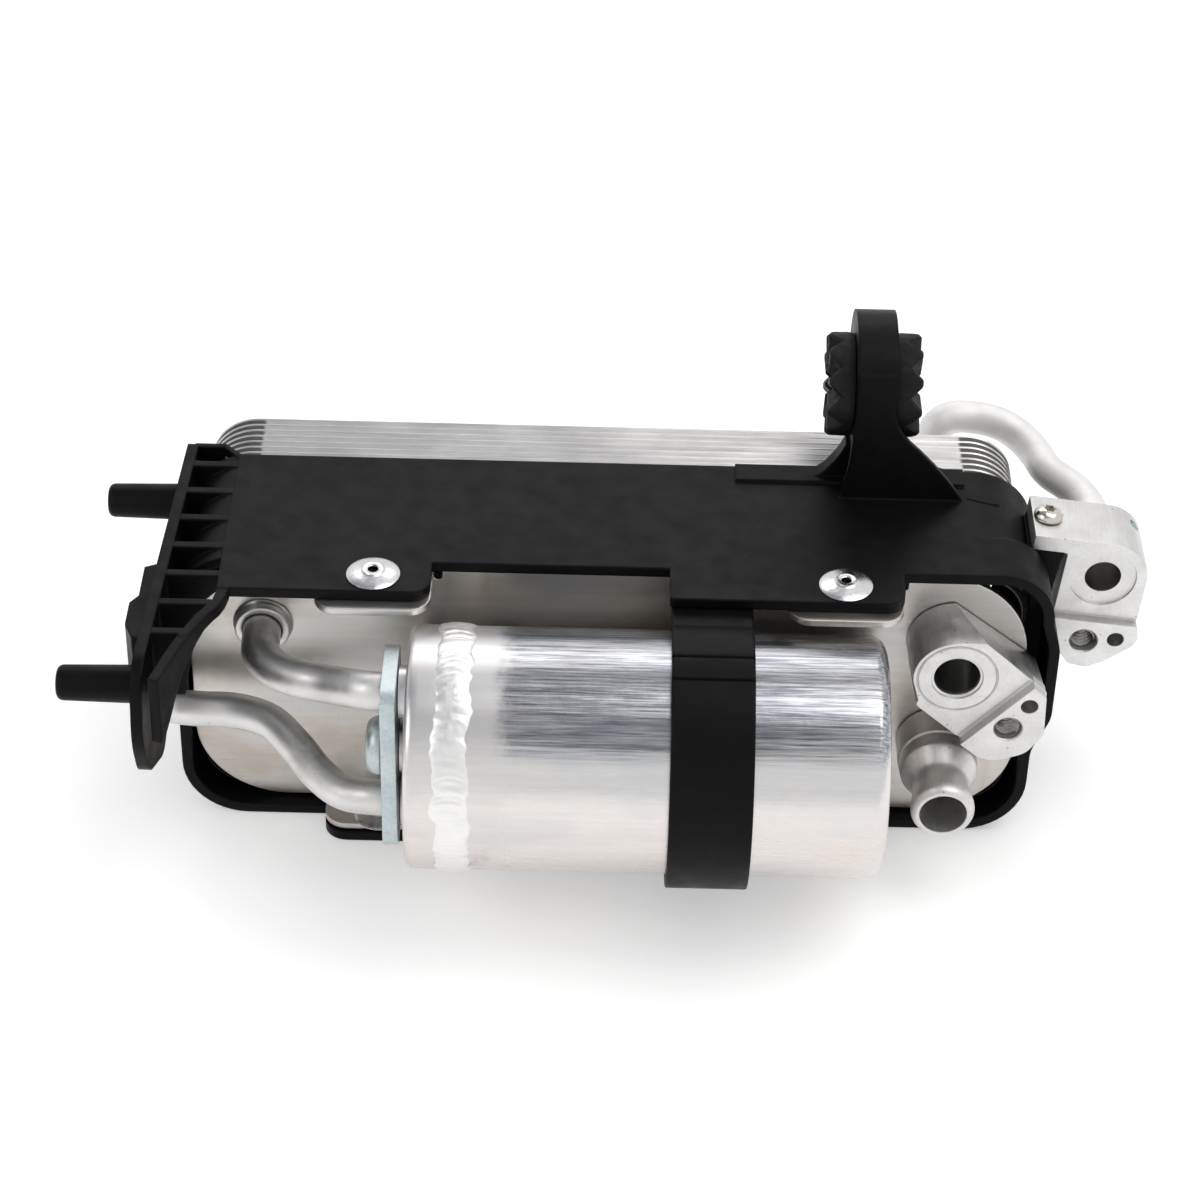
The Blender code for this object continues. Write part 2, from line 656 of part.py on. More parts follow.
def rubber_bush(look):
    """A grooved rubber bush with ridged ends, gripping the ring."""
    half = BUSH_LENGTH / 2
    groove = RING_WIDTH / 2 + SEAT
    grip = RING_BORE - SEAT
    profile = [(BUSH_HOLE, -half), (BUSH_RADIUS - 0.001, -half), (BUSH_RADIUS, -half + 0.001),
               (BUSH_RADIUS, -groove), (grip, -groove), (grip, groove), (BUSH_RADIUS, groove),
               (BUSH_RADIUS, half - 0.001), (BUSH_RADIUS - 0.001, half), (BUSH_HOLE, half)]
    bush = turned("rubber_bush", profile, along((1, 0, 0), (RING_X, RING_Y, RING_Z)), 20)
    cuts = []
    wedge = BUSH_GROOVE_DEPTH
    for side in (-1, 1):
        for number in range(BUSH_GROOVES):
            turn = Matrix.Rotation(math.pi * number / BUSH_GROOVES, 4, "X")
            flute = [(side * (half + 0.001), -wedge * 1.6), (side * (half - wedge), 0),
                     (side * (half + 0.001), wedge * 1.6)]
            cut = extruded(f"bush_groove_{side}_{number}", [flute], ACROSS_Z, -0.02, 0.02, cutters)
            cut.data.transform(Matrix.Translation((RING_X, RING_Y, RING_Z)) @ turn)
            cuts.append(cut)
    boolean(bush, cuts, "DIFFERENCE")
    return finish(bush, look)


# Bottle, strap and flange plate

def drier_bottle(look):
    """The sealed bottle: cap, weld bead, body and rounded right end, turned as one."""
    reach = BOTTLE_RIGHT - BOTTLE_LEFT
    weld = WELD_X - BOTTLE_LEFT
    profile = [(0, 0), (BOTTLE_RADIUS - BOTTLE_CHAMFER, 0), (BOTTLE_RADIUS, BOTTLE_CHAMFER)]
    for k in range(7):
        angle = math.pi * k / 6
        profile.append((BOTTLE_RADIUS + WELD_PROUD * math.sin(angle),
                        weld - WELD_WIDTH / 2 * math.cos(angle)))
    for k in range(5):
        angle = math.pi / 2 * k / 4
        profile.append((BOTTLE_RADIUS - BOTTLE_SHOULDER * (1 - math.cos(angle)),
                        reach - BOTTLE_SHOULDER * (1 - math.sin(angle))))
    profile.append((BOTTLE_RADIUS - BOTTLE_SHOULDER - 0.004, reach - 0.0012))
    profile.append((0, reach - 0.0012))
    bottle = turned("drier_bottle", profile, along((1, 0, 0), (BOTTLE_LEFT, BOTTLE_Y, BOTTLE_Z)), 40)
    spigots = []
    for z in (TUBE_HIGH_Z, TUBE_LOW_Z):
        spigots.append(cylinder(f"spigot_{z:.3f}", (FLANGE_RIGHT + SEAT, BOTTLE_Y, z),
                                (BOTTLE_LEFT + 0.002, BOTTLE_Y, z), SPIGOT_RADIUS, 16, home=cutters))
    spigots.append(cylinder("bolt_boss", (FLANGE_RIGHT + SEAT, BOTTLE_Y, BOTTLE_Z),
                            (BOTTLE_LEFT + 0.002, BOTTLE_Y, BOTTLE_Z), SPIGOT_RADIUS, 16, home=cutters))
    boolean(bottle, spigots, "UNION")
    hole = cylinder("bolt_hole", (FLANGE_LEFT, BOTTLE_Y, BOTTLE_Z), (BOTTLE_LEFT + 0.010, BOTTLE_Y, BOTTLE_Z),
                    BOLT_SHANK + SEAT, 16, home=cutters)
    boolean(bottle, [hole], "DIFFERENCE")
    return finish(bottle, look)


def strap(look):
    """A band round the front of the bottle that hooks under the top shelf and stands on the lower one."""
    inner = BOTTLE_RADIUS + SEAT
    outer = inner + STRAP_THICKNESS
    high = BAND_TOP - BAND_WALL - SEAT
    low = BAND_WALL + SEAT
    # The band leaves the bottle where its outside comes level with the shelf's underside
    top_angle = math.degrees(math.asin((high - BOTTLE_Z) / outer))
    inner_top = math.degrees(math.asin((high - STRAP_THICKNESS - BOTTLE_Z) / inner))
    foot = BAND_FRONT + 0.0012
    middle = (BOTTLE_Y, BOTTLE_Z)
    outside = arc(middle, outer, top_angle, 270, 22)
    inside = arc(middle, inner, 288, inner_top, 22)
    loop = [(foot, high)] + outside
    loop += [(BOTTLE_Y + 0.004, BOTTLE_Z - outer), (LOW_SHELF_FRONT + 0.001, low), (foot, low),
             (foot, low + STRAP_THICKNESS), (LOW_SHELF_FRONT + 0.003, low + STRAP_THICKNESS)]
    loop += inside + [(foot, high - STRAP_THICKNESS)]
    made = extruded("bottle_strap", [loop], ACROSS_X, STRAP_LEFT, STRAP_LEFT + STRAP_WIDTH)
    return finish(made, look)


def flange_plate(look):
    half_width, half_height = FLANGE_WIDTH / 2, FLANGE_HEIGHT / 2
    outline = rectangle((BOTTLE_Y - half_width, BOTTLE_Z - half_height),
                        (BOTTLE_Y + half_width, BOTTLE_Z + half_height), FLANGE_CORNER, 2)
    holes = [circle((BOTTLE_Y, TUBE_HIGH_Z), GAS_TUBE + SEAT, 16),
             circle((BOTTLE_Y, TUBE_LOW_Z), RETURN_TUBE + SEAT, 16),
             circle((BOTTLE_Y, BOTTLE_Z), BOLT_SHANK + SEAT, 16)]
    made = extruded("flange_plate", [outline] + holes, ACROSS_X, FLANGE_LEFT, FLANGE_RIGHT)
    return finish(made, look)


def flange_bolt(look):
    """A domed bolt with a hexagon socket that holds the flange plate to the bottle."""
    length = FLANGE_THICKNESS + FLANGE_GAP + 0.008
    profile = [(0, BOLT_HEAD_HEIGHT), (BOLT_HEAD * 0.62, BOLT_HEAD_HEIGHT), (BOLT_HEAD * 0.88, 0.0034),
               (BOLT_HEAD, 0.0018), (BOLT_HEAD, 0.0003), (BOLT_SHANK, 0.0003), (BOLT_SHANK, -length),
               (0, -length)]
    bolt = turned("flange_bolt", profile, along((-1, 0, 0), (FLANGE_LEFT, BOTTLE_Y, BOTTLE_Z)), 20)
    socket = cylinder("bolt_socket", (FLANGE_LEFT - 0.0022, BOTTLE_Y, BOTTLE_Z),
                      (FLANGE_LEFT - 0.010, BOTTLE_Y, BOTTLE_Z), 0.0029, 6, home=cutters)
    boolean(bolt, [socket], "DIFFERENCE")
    return finish(bolt, look)


# Tubes and their collars

def gas_tube(look):
    port = (-PORT_HIGH_X, PORT_HIGH_Z)
    route = [(port[0], 0.0010, port[1]), (port[0], -0.0070, port[1]), (-0.0888, -0.0130, port[1]),
             (-0.0850, -0.0188, 0.0618), (-0.0780, -0.0232, 0.0623), (-0.0705, -0.0268, 0.0636),
             (-0.0640, -0.0312, 0.0660), (FLANGE_LEFT - 0.0030, BOTTLE_Y, TUBE_HIGH_Z),
             (FLANGE_RIGHT - SEAT, BOTTLE_Y, TUBE_HIGH_Z)]
    return pipe("gas_tube", route, GAS_TUBE, look)


def return_tube(look):
    port = (-PORT_HIGH_X, PORT_HIGH_Z)
    outside = -BAND_HALF - RETURN_TUBE - 0.0008
    route = [(FLANGE_RIGHT - SEAT, BOTTLE_Y, TUBE_LOW_Z), (FLANGE_LEFT - 0.0030, BOTTLE_Y, TUBE_LOW_Z),
             (-0.0665, -0.0285, 0.0322), (-0.0735, -0.0225, 0.0345), (-0.0800, -0.0170, 0.0378),
             (-0.0875, -0.0120, 0.0402), (-0.0975, -0.0102, 0.0405), (-0.1060, -0.0106, 0.0411),
             (outside + 0.0052, -0.0099, 0.0415), (outside + 0.0012, -0.0062, 0.0417),
             (outside, 0.0000, 0.0417), (outside, 0.0180, 0.0416),
             (outside, 0.0380, 0.0425), (outside, 0.0560, 0.0462), (-0.1160, 0.0665, 0.0510),
             (-0.1100, 0.0742, 0.0562), (-0.1010, 0.0785, 0.0600), (-0.0930, 0.0770, port[1]),
             (port[0], 0.0715, port[1]), (port[0], BACK_FACE - 0.0008, port[1])]
    return pipe("return_tube", route, RETURN_TUBE, look)


def liquid_tube(look):
    port = (PORT_HIGH_X, PORT_HIGH_Z)
    back = LIQUID_FRONT + LIQUID_DEPTH
    route = [(port[0], BACK_FACE - 0.0008, port[1]), (port[0], 0.0710, port[1]), (0.0890, 0.0762, 0.0648),
             (0.0893, 0.0798, 0.0695), (0.0914, 0.0822, 0.0730), (0.0950, 0.0835, 0.0745),
             (0.1005, 0.0840, 0.0743), (0.1070, 0.0828, 0.0732), (0.1127, 0.0800, 0.0712),
             (0.1168, 0.0755, 0.0698), (0.1203, 0.0680, 0.0698), (0.1235, 0.0610, 0.0705),
             (0.1265, 0.0520, 0.0712), (0.1285, 0.0440, 0.0715), (LIQUID_X, 0.0380, LIQUID_Z),
             (LIQUID_X, back - 0.0030, LIQUID_Z)]
    return pipe("liquid_tube", route, LIQUID_TUBE, look)


def collar(name, x, face, z, way, inner, look):
    """A flanged collar that stands on an end plate round a tube."""
    inner += SEAT
    outer = inner + COLLAR_WALL
    profile = [(inner, SEAT), (outer + 0.0004, SEAT), (outer, 0.0008), (outer, COLLAR_HEIGHT - 0.0005),
               (outer - 0.0005, COLLAR_HEIGHT), (inner, COLLAR_HEIGHT)]
    made = turned(name, profile, along((0, way, 0), (x, face, z)), 24)
    return finish(made, look)


# Blocks and nipples

def turn_about_bore(x, z, angle):
    """The frame that carries a block's own X and Z, drawn about its bore, to its place."""
    return Matrix.Translation((x, 0, z)) @ Matrix.Rotation(angle, 4, "Y")


def liquid_frame():
    return turn_about_bore(LIQUID_X, LIQUID_Z, LIQUID_TURN)


def gas_frame():
    return turn_about_bore(PORT_HIGH_X, PORT_HIGH_Z, -GAS_LUG_ANGLE)


def placed_cylinder(name, frame, place, low, high, radius, steps):
    made = cylinder(name, (place[0], low, place[1]), (place[0], high, place[1]), radius, steps, home=cutters)
    made.data.transform(frame)
    return made


def placed_box(name, frame, low, high):
    made = box(name, low, high, cutters)
    made.data.transform(frame)
    return made


def gas_block(look):
    frame = gas_frame()
    outline = filleted([(0, -GAS_BOSS), (0.030, -GAS_BOSS, 0.004), (0.0325, -0.0070, 0.003),
                        (0.030, 0.0015, 0.003), (0.0250, 0.0078, 0.002), (0.0185, GAS_BOSS, 0.003),
                        (0, GAS_BOSS)], 3)
    outline += arc((0, 0), GAS_BOSS, 90, 270, 14)[1:-1]
    face = -GAS_DEPTH - SEAT
    block = extruded("gas_block", [outline], ACROSS_Y, face, -SEAT)
    block.data.transform(frame)
    cuts = [placed_box("gas_step", frame, (GAS_STEP_FROM, face - 0.01, -0.03),
                       (0.05, face + GAS_STEP, 0.03)),
            placed_box("gas_step_groove", frame, (GAS_STEP_FROM, face - 0.01, -0.03),
                       (GAS_STEP_FROM + 0.0012, face + GAS_STEP + 0.0005, 0.03)),
            placed_cylinder("gas_bore", frame, (0, 0), face - 0.01, 0.01, GAS_BORE, 24),
            placed_cylinder("gas_seat", frame, (0, 0), face - 0.01, face + 0.0012, GAS_BORE + 0.0008, 24),
            placed_cylinder("gas_thread", frame, GAS_THREAD, face - 0.01, face + GAS_STEP + 0.010,
                            THREAD_RADIUS, 16),
            placed_cylinder("gas_pin_hole", frame, GAS_PIN, face - 0.01, face + GAS_STEP + PIN_DEPTH,
                            PIN_RADIUS, 12)]
    boolean(block, cuts, "DIFFERENCE")
    return finish(block, look)


def liquid_block(look):
    """The outlet block: a round-shouldered body with a screwed wing and a stepped, threaded lug."""
    frame = liquid_frame()
    wing_under = LIQUID_ROUND - WING_THICKNESS
    outline = filleted([(-WING_REACH, LIQUID_ROUND), (-WING_REACH, wing_under), (-0.0122, wing_under, 0.001),
                        (-0.0122, -0.0100, 0.002), (-0.0104, -0.0130, 0.002), (-0.0104, -0.0270, 0.006),
                        (-0.0010, -0.0322, 0.006), (0.0125, -0.0260, 0.005), (LIQUID_ROUND, -0.0060, 0.006),
                        (LIQUID_ROUND, LIQUID_ROUND, 0.0128)], 5)
    back = LIQUID_FRONT + LIQUID_DEPTH
    block = extruded("liquid_block", [outline], ACROSS_Y, LIQUID_FRONT, back)
    block.data.transform(frame)
    front = LIQUID_FRONT
    cuts = [placed_box("liquid_step", frame, (-0.03, front - 0.01, -0.05),
                       (0.03, front + LIQUID_STEP, LIQUID_STEP_FROM)),
            placed_box("liquid_step_groove", frame, (-0.03, front - 0.01, LIQUID_STEP_FROM - 0.0012),
                       (0.03, front + LIQUID_STEP + 0.0005, LIQUID_STEP_FROM)),
            placed_cylinder("liquid_bore", frame, (0, 0), front - 0.01, back - 0.0050, LIQUID_BORE, 24),
            placed_cylinder("liquid_seat", frame, (0, 0), front - 0.01, front + LIQUID_SEAT_DEPTH,
                            LIQUID_SEAT, 24),
            placed_cylinder("liquid_tube_hole", frame, (0, 0), back - 0.0060, back + 0.01,
                            LIQUID_TUBE + SEAT, 24),
            placed_cylinder("liquid_thread", frame, LIQUID_THREAD, front - 0.01, back + 0.01,
                            THREAD_RADIUS, 16),
            placed_cylinder("liquid_pin_hole", frame, LIQUID_PIN, front - 0.01,
                            front + LIQUID_STEP + PIN_DEPTH, PIN_RADIUS, 12)]
    screw = cylinder("wing_screw_hole", (-0.0163, 0, 0), (-0.0163, 0, 0.02), SCREW_SHANK + SEAT, 12,
                     home=cutters)
    screw.data.transform(frame @ Matrix.Translation((0, front + LIQUID_DEPTH / 2, 0)))
    boolean(block, cuts + [screw], "DIFFERENCE")
    return finish(block, look)


def block_screw(look):
    """A pan-head screw with a star socket that holds the wing to the bracket's ear."""
    top = LIQUID_ROUND + SEAT
    profile = [(0, SCREW_HEAD_HEIGHT), (SCREW_HEAD * 0.55, SCREW_HEAD_HEIGHT * 0.96),
               (SCREW_HEAD * 0.85, SCREW_HEAD_HEIGHT * 0.7), (SCREW_HEAD, SCREW_HEAD_HEIGHT * 0.3),
               (SCREW_HEAD, 0), (SCREW_SHANK, 0), (SCREW_SHANK, -SCREW_LENGTH), (0, -SCREW_LENGTH)]
    place = liquid_frame() @ Matrix.Translation((-0.0163, LIQUID_FRONT + LIQUID_DEPTH / 2, top))
    screw = turned("block_screw", profile, place, 20)
    socket = cylinder("screw_socket", (0, 0, SCREW_HEAD_HEIGHT - 0.0015), (0, 0, 0.01), 0.0014, 6,
                      home=cutters)
    socket.data.transform(place)
    boolean(screw, [socket], "DIFFERENCE")
    return finish(screw, look)


def coolant_nipple(name, x, face, z, way, look):
    """A hose nipple with a stepped collar, a cone and a beaded end, bored through."""
    profile = [(NIPPLE_BORE, SEAT), (NIPPLE_COLLAR, SEAT), (NIPPLE_COLLAR, 0.0042),
               (NIPPLE_COLLAR - 0.0006, 0.0048), (NIPPLE_COLLAR - 0.0006, 0.0056),
               (NIPPLE_COLLAR - 0.0002, 0.0062), (NIPPLE_COLLAR - 0.0002, 0.0105),
               (NIPPLE_BARREL + 0.0004, 0.0160), (NIPPLE_BARREL, 0.0200), (NIPPLE_BARREL, 0.0268),
               (NIPPLE_BARREL + 0.0003, 0.0280), (NIPPLE_BARREL - 0.0002, NIPPLE_LENGTH - 0.0010),
               (NIPPLE_BARREL - 0.0012, NIPPLE_LENGTH), (NIPPLE_BORE, NIPPLE_LENGTH)]
    made = turned(name, profile, along((0, way, 0), (x, face, z)), 24)
    return finish(made, look)


def rivet(name, side, low, look):
    """A large-flange rivet; the lower pair is set from above and sinks into the shelf."""
    grip = BAND_WALL + END_SHEET + 2 * SEAT
    head = [(RIVET_HOLE, RIVET_HEAD_HEIGHT), (RIVET_HOLE + 0.0012, RIVET_HEAD_HEIGHT),
            (RIVET_HOLE + 0.0020, RIVET_HEAD_HEIGHT - 0.0002), (RIVET_HEAD, 0.0005), (RIVET_HEAD, SEAT),
            (RIVET_SHANK, SEAT)]
    if low:
        tail = [(RIVET_SHANK, -grip + SEAT), (RIVET_HOLE, -grip + SEAT)]
        seat_z = BAND_WALL + SEAT + END_SHEET
    else:
        tail = [(RIVET_SHANK, -grip - SEAT), (RIVET_BULB, -grip - 0.0008), (RIVET_BULB, -grip - 0.0028),
                (RIVET_SHANK, -grip - 0.0040), (RIVET_HOLE, -grip - 0.0040)]
        seat_z = BAND_TOP
    made = turned(name, head + tail, Matrix.Translation((side * RIVET_X, RIVET_Y, seat_z)), 20)
    return finish(made, look)


def build():
    clear_scene()
    brushed = material("brushed_aluminium", (0.62, 0.60, 0.57), 0.42, 1.0)
    plates = material("brazed_aluminium", (0.66, 0.65, 0.63), 0.5, 1.0)
    bottle = material("bottle_aluminium", (0.72, 0.71, 0.70), 0.28, 1.0)
    machined = material("machined_aluminium", (0.68, 0.67, 0.66), 0.34, 1.0)
    tube = material("tube_aluminium", (0.60, 0.59, 0.57), 0.38, 1.0)
    plastic = material("black_plastic", (0.022, 0.022, 0.024), 0.55, 0.0)
    rubber = material("black_rubber", (0.014, 0.014, 0.015), 0.8, 0.0)
    zinc = material("zinc_plated_steel", (0.58, 0.63, 0.65), 0.45, 1.0)
    rivets = material("rivet_aluminium", (0.78, 0.78, 0.78), 0.22, 1.0)
    nickel = material("screw_steel", (0.66, 0.63, 0.58), 0.2, 1.0)

    front_plate(brushed)
    core_plates(plates)
    back_plate(plates)
    bracket(plastic)
    rubber_bush(rubber)
    drier_bottle(bottle)
    strap(plastic)
    flange_plate(zinc)
    flange_bolt(zinc)
    gas_tube(tube)
    return_tube(tube)
    liquid_tube(tube)
    collar("gas_collar", -PORT_HIGH_X, 0, PORT_HIGH_Z, -1, GAS_TUBE, machined)
    collar("return_collar", -PORT_HIGH_X, BACK_FACE, PORT_HIGH_Z, 1, RETURN_TUBE, machined)
    collar("liquid_collar", PORT_HIGH_X, BACK_FACE, PORT_HIGH_Z, 1, LIQUID_TUBE, machined)
    gas_block(machined)
    liquid_block(machined)
    block_screw(nickel)
    coolant_nipple("front_coolant_nipple", PORT_LOW_X, 0, PORT_LOW_Z, -1, machined)
    coolant_nipple("back_coolant_nipple", -PORT_LOW_X, BACK_FACE, PORT_LOW_Z, 1, machined)
    for side, name in ((-1, "left"), (1, "right")):
        rivet(f"top_rivet_{name}", side, False, rivets)
        rivet(f"low_rivet_{name}", side, True, rivets)


build()
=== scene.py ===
"""Liquid-cooled condenser with a receiver-drier bottle, dressed for a studio render."""

import json
from math import asin, atan2, copysign, cos, degrees, radians, sin, sqrt, tan, tau

import bmesh
import bpy
from mathutils import Matrix, Vector, noise

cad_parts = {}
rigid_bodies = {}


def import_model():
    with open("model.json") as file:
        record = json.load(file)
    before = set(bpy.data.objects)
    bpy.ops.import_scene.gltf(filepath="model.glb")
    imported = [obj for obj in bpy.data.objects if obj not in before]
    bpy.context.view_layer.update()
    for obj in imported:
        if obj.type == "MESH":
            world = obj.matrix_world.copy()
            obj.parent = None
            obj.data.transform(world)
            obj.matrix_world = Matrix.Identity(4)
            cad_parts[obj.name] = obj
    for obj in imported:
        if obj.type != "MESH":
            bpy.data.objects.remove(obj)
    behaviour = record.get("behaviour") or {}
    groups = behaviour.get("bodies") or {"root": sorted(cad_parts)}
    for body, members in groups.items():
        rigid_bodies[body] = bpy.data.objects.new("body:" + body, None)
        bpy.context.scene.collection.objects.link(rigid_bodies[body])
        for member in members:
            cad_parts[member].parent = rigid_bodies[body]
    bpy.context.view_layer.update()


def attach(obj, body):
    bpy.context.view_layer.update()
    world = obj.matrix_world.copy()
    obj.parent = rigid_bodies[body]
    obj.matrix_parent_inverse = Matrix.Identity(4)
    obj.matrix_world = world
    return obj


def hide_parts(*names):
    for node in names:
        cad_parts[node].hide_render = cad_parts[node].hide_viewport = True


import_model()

# Sizes here are in millimetres, in the model's frame
MM = 0.001

CORE_WIDTH = 218.0
CORE_HEIGHT = 78.3
CORE_CORNER = 13.4
TRAY_COUNT = 23
TRAY_PITCH = 2.59
TRAY_DEPTH = 5.0
TRAY_FLARE = 1.8
END_SHEET = 2.0
END_CORNER = 24.0
SEAT = 0.3

BAND_WALL = 2.8
BAND_GAP = 0.8
BAND_FRONT = -3.8
BAND_BACK = 42.0
BAND_BULGE = 4.4

CORE_BOTTOM = BAND_WALL + BAND_GAP
CORE_TOP = CORE_BOTTOM + CORE_HEIGHT
BAND_TOP = CORE_TOP + BAND_GAP + BAND_WALL
BAND_HALF = CORE_WIDTH / 2 + BAND_GAP + BAND_WALL
BAND_CORNER = CORE_CORNER + BAND_GAP + BAND_WALL
SHELF_FRONT = BAND_FRONT - 12.6
LOW_SHELF_FRONT = BAND_FRONT - 10.5
STACK_FRONT = END_SHEET + SEAT
STACK_BACK = STACK_FRONT + (TRAY_COUNT - 1) * TRAY_PITCH + TRAY_DEPTH
BACK_FACE = STACK_BACK + SEAT + END_SHEET
TAB_HIGH = BAND_TOP - BAND_WALL - SEAT
TAB_LOW = BAND_WALL + SEAT
TAB_SIDES = (45, 74.5)

PORT_HIGH = (89.5, 61.8)
PORT_LOW = (87.6, 28.5)
RIVET = (59.8, -9.3)
RIVET_HOLE = 2.7
BOTTLE_RADIUS = 30.9
STRAP_WALL = 3.1
STRAP_SIDES = (15.8, 36.4)
BOTTLE_AXIS = (-34, 50)
BOTTLE_LEFT = -49.7
BOTTLE_RIGHT = 70.2
FLANGE_RIGHT = BOTTLE_LEFT - 2.5
FLANGE_LEFT = FLANGE_RIGHT - 4.0

RING = (67.45, 44, 111.2)
RING_WIDTH = 10.3
RING_RADIUS = 19.6
RING_BORE = 11.2
ARM_FRONT = 29.0

SIDE_INNER = -111.7
SIDE_TOE = radians(2)
SHELF_EDGE = -98.5
WEBS = [37.6 - 11.95 * i for i in range(7)]
PEG_Z = 72.0

LIQUID = (129, 71.5)
LIQUID_FRONT = 15.0
LIQUID_BACK = 33.0
LIQUID_ROUND = 11.2
WING_REACH = 20.3
WALL_PLACE = (-102.3, -31.4)
WALL_ANGLE = radians(68.8)


def port_frame(place, turn):
    """The frame of a block: turned about a line along Y through its port."""
    return Matrix.Translation((place[0], 0, place[1])) @ Matrix.Rotation(turn, 4, "Y")


GAS_FRAME = port_frame(PORT_HIGH, radians(42))
LIQUID_FRAME = port_frame(LIQUID, radians(6.5))


# Outlines

def arc(centre, radius, start, end, steps):
    angles = [radians(start + (end - start) * i / steps) for i in range(steps + 1)]
    return [(centre[0] + radius * cos(a), centre[1] + radius * sin(a)) for a in angles]


def filleted(corners, steps=8):
    """A closed outline from corners (x, y) or (x, y, fillet radius)."""
    points = []
    count = len(corners)
    for i, corner in enumerate(corners):
        here = Vector(corner[:2])
        radius = corner[2] if len(corner) > 2 else 0
        if radius == 0:
            points.append(tuple(here))
            continue
        before = (Vector(corners[i - 1][:2]) - here).normalized()
        after = (Vector(corners[(i + 1) % count][:2]) - here).normalized()
        half = before.angle(after) / 2
        reach = radius / tan(half)
        centre = here + (before + after).normalized() * radius / sin(half)
        first = here + before * reach - centre
        turn = first.angle_signed(here + after * reach - centre)
        for k in range(steps + 1):
            points.append(tuple(centre + Matrix.Rotation(-turn * k / steps, 2) @ first))
    return points


def rectangle(low, high, radius, steps):
    corners = [(low[0], low[1]), (high[0], low[1]), (high[0], high[1]), (low[0], high[1])]
    return filleted([(x, y, radius) for x, y in corners], steps)


def core_outline(inset):
    half = CORE_WIDTH / 2 - inset
    return rectangle((-half, CORE_BOTTOM + inset), (half, CORE_TOP - inset), CORE_CORNER - inset, 14)


def band_outline(inset, bulge=0):
    half = BAND_HALF - inset
    low, high = inset, BAND_TOP - inset
    corner = BAND_CORNER - inset
    right = [(half, low, corner), (half, high, corner)]
    if bulge:
        right = [(half, low, corner), (half, 28, 12), (half + bulge, 39, 12), (half + bulge, 62, 12),
                 (half + 2, 70, 2), (half + 2, high, corner - 2.5)]
    return filleted([(-half, low, corner)] + right + [(-half, high, corner)], 12)


# Solids, each one a bmesh in millimetres

PLANES = {"X": lambda a, b, h: (h, a, b), "Y": lambda a, b, h: (a, h, b), "Z": lambda a, b, h: (a, b, h)}


def skin(rings, looped=False, capped=False, seam=0, bm=None):
    """Faces between rings of as many points each; a seam leaves each ring's last step open."""
    if bm is None:
        bm = bmesh.new()
    # A ring that is one point over and over is a pole
    rings = [[bm.verts.new(p) for p in ring] if ring[0] != ring[1] else [bm.verts.new(ring[0])] * len(ring)
             for ring in rings]
    if capped:
        bm.faces.new(rings[0])
        bm.faces.new(rings[-1])
    for lower, upper in zip(rings, rings[1:] + rings[:1] * looped):
        for k in range(len(lower) - seam):
            j = (k + 1) % len(lower)
            corners = list(dict.fromkeys((lower[k], lower[j], upper[j], upper[k])))
            if len(corners) > 2:
                bm.faces.new(corners)
    bmesh.ops.recalc_face_normals(bm, faces=bm.faces)
    return bm


def prism(outline, axis, low, high):
    place = PLANES[axis]
    return skin([[place(a, b, h) for a, b in outline] for h in (low, high)], capped=True)


def tapered(front, low, back, high):
    """A solid between two outlines of as many points, square to Y."""
    return skin([[(x, y, z) for x, z in outline] for outline, y in ((front, low), (back, high))], capped=True)


def block(low, high):
    return prism([low[:2], (high[0], low[1]), high[:2], (low[0], high[1])], "Z", low[2], high[2])


def along(axis, place):
    turn = Vector((0, 0, 1)).rotation_difference(Vector(axis)).to_matrix().to_4x4()
    return Matrix.Translation(place) @ turn


def moved(bm, matrix):
    bmesh.ops.transform(bm, matrix=matrix, verts=bm.verts)
    return bm


def lathe(profile, axis, place, steps=64):
    """A closed profile of (radius, height) points, turned about an axis."""
    turns = [tau * k / steps for k in range(steps)]
    rings = [[(radius * cos(t), radius * sin(t), height) for t in turns] for radius, height in profile]
    return moved(skin(rings, looped=profile[0][0] > 0 and profile[-1][0] > 0), along(axis, place))


def rod(start, end, radius, steps=48):
    start, end = Vector(start), Vector(end)
    length = (end - start).length
    return lathe([(0, 0), (radius, 0), (radius, length), (0, length)], end - start, start, steps)


def bore(x, z, low, high, radius, steps=48):
    return rod((x, low, z), (x, high, z), radius, steps)


def mesh_of(bm, name):
    mesh = bpy.data.meshes.new(name)
    bm.to_mesh(mesh)
    bm.free()
    return mesh


def placed(name, data):
    made = bpy.data.objects.new(name, data)
    bpy.context.scene.collection.objects.link(made)
    return made


def combine(base, tools, operation):
    """An exact Boolean of one solid with several others, applied at once."""
    group = bpy.data.collections.new("tools")
    target = placed("target", mesh_of(base, "target"))
    bpy.context.scene.collection.children.link(group)
    for tool in tools:
        group.objects.link(bpy.data.objects.new("tool", mesh_of(tool, "tool")))
    modifier = target.modifiers.new("join", "BOOLEAN")
    modifier.operation = operation
    modifier.solver = "EXACT"
    modifier.operand_type = "COLLECTION"
    modifier.collection = group
    graph = bpy.context.evaluated_depsgraph_get()
    made = bmesh.new()
    made.from_mesh(bpy.data.meshes.new_from_object(target.evaluated_get(graph)))
    for item in [target, *group.objects]:
        bpy.data.objects.remove(item, do_unlink=True)
    bpy.data.collections.remove(group)
    return made


def cleaned(bm):
    bmesh.ops.remove_doubles(bm, verts=bm.verts, dist=0.002)
    bmesh.ops.dissolve_limit(bm, angle_limit=radians(0.6), verts=bm.verts, edges=bm.edges)
    return bm


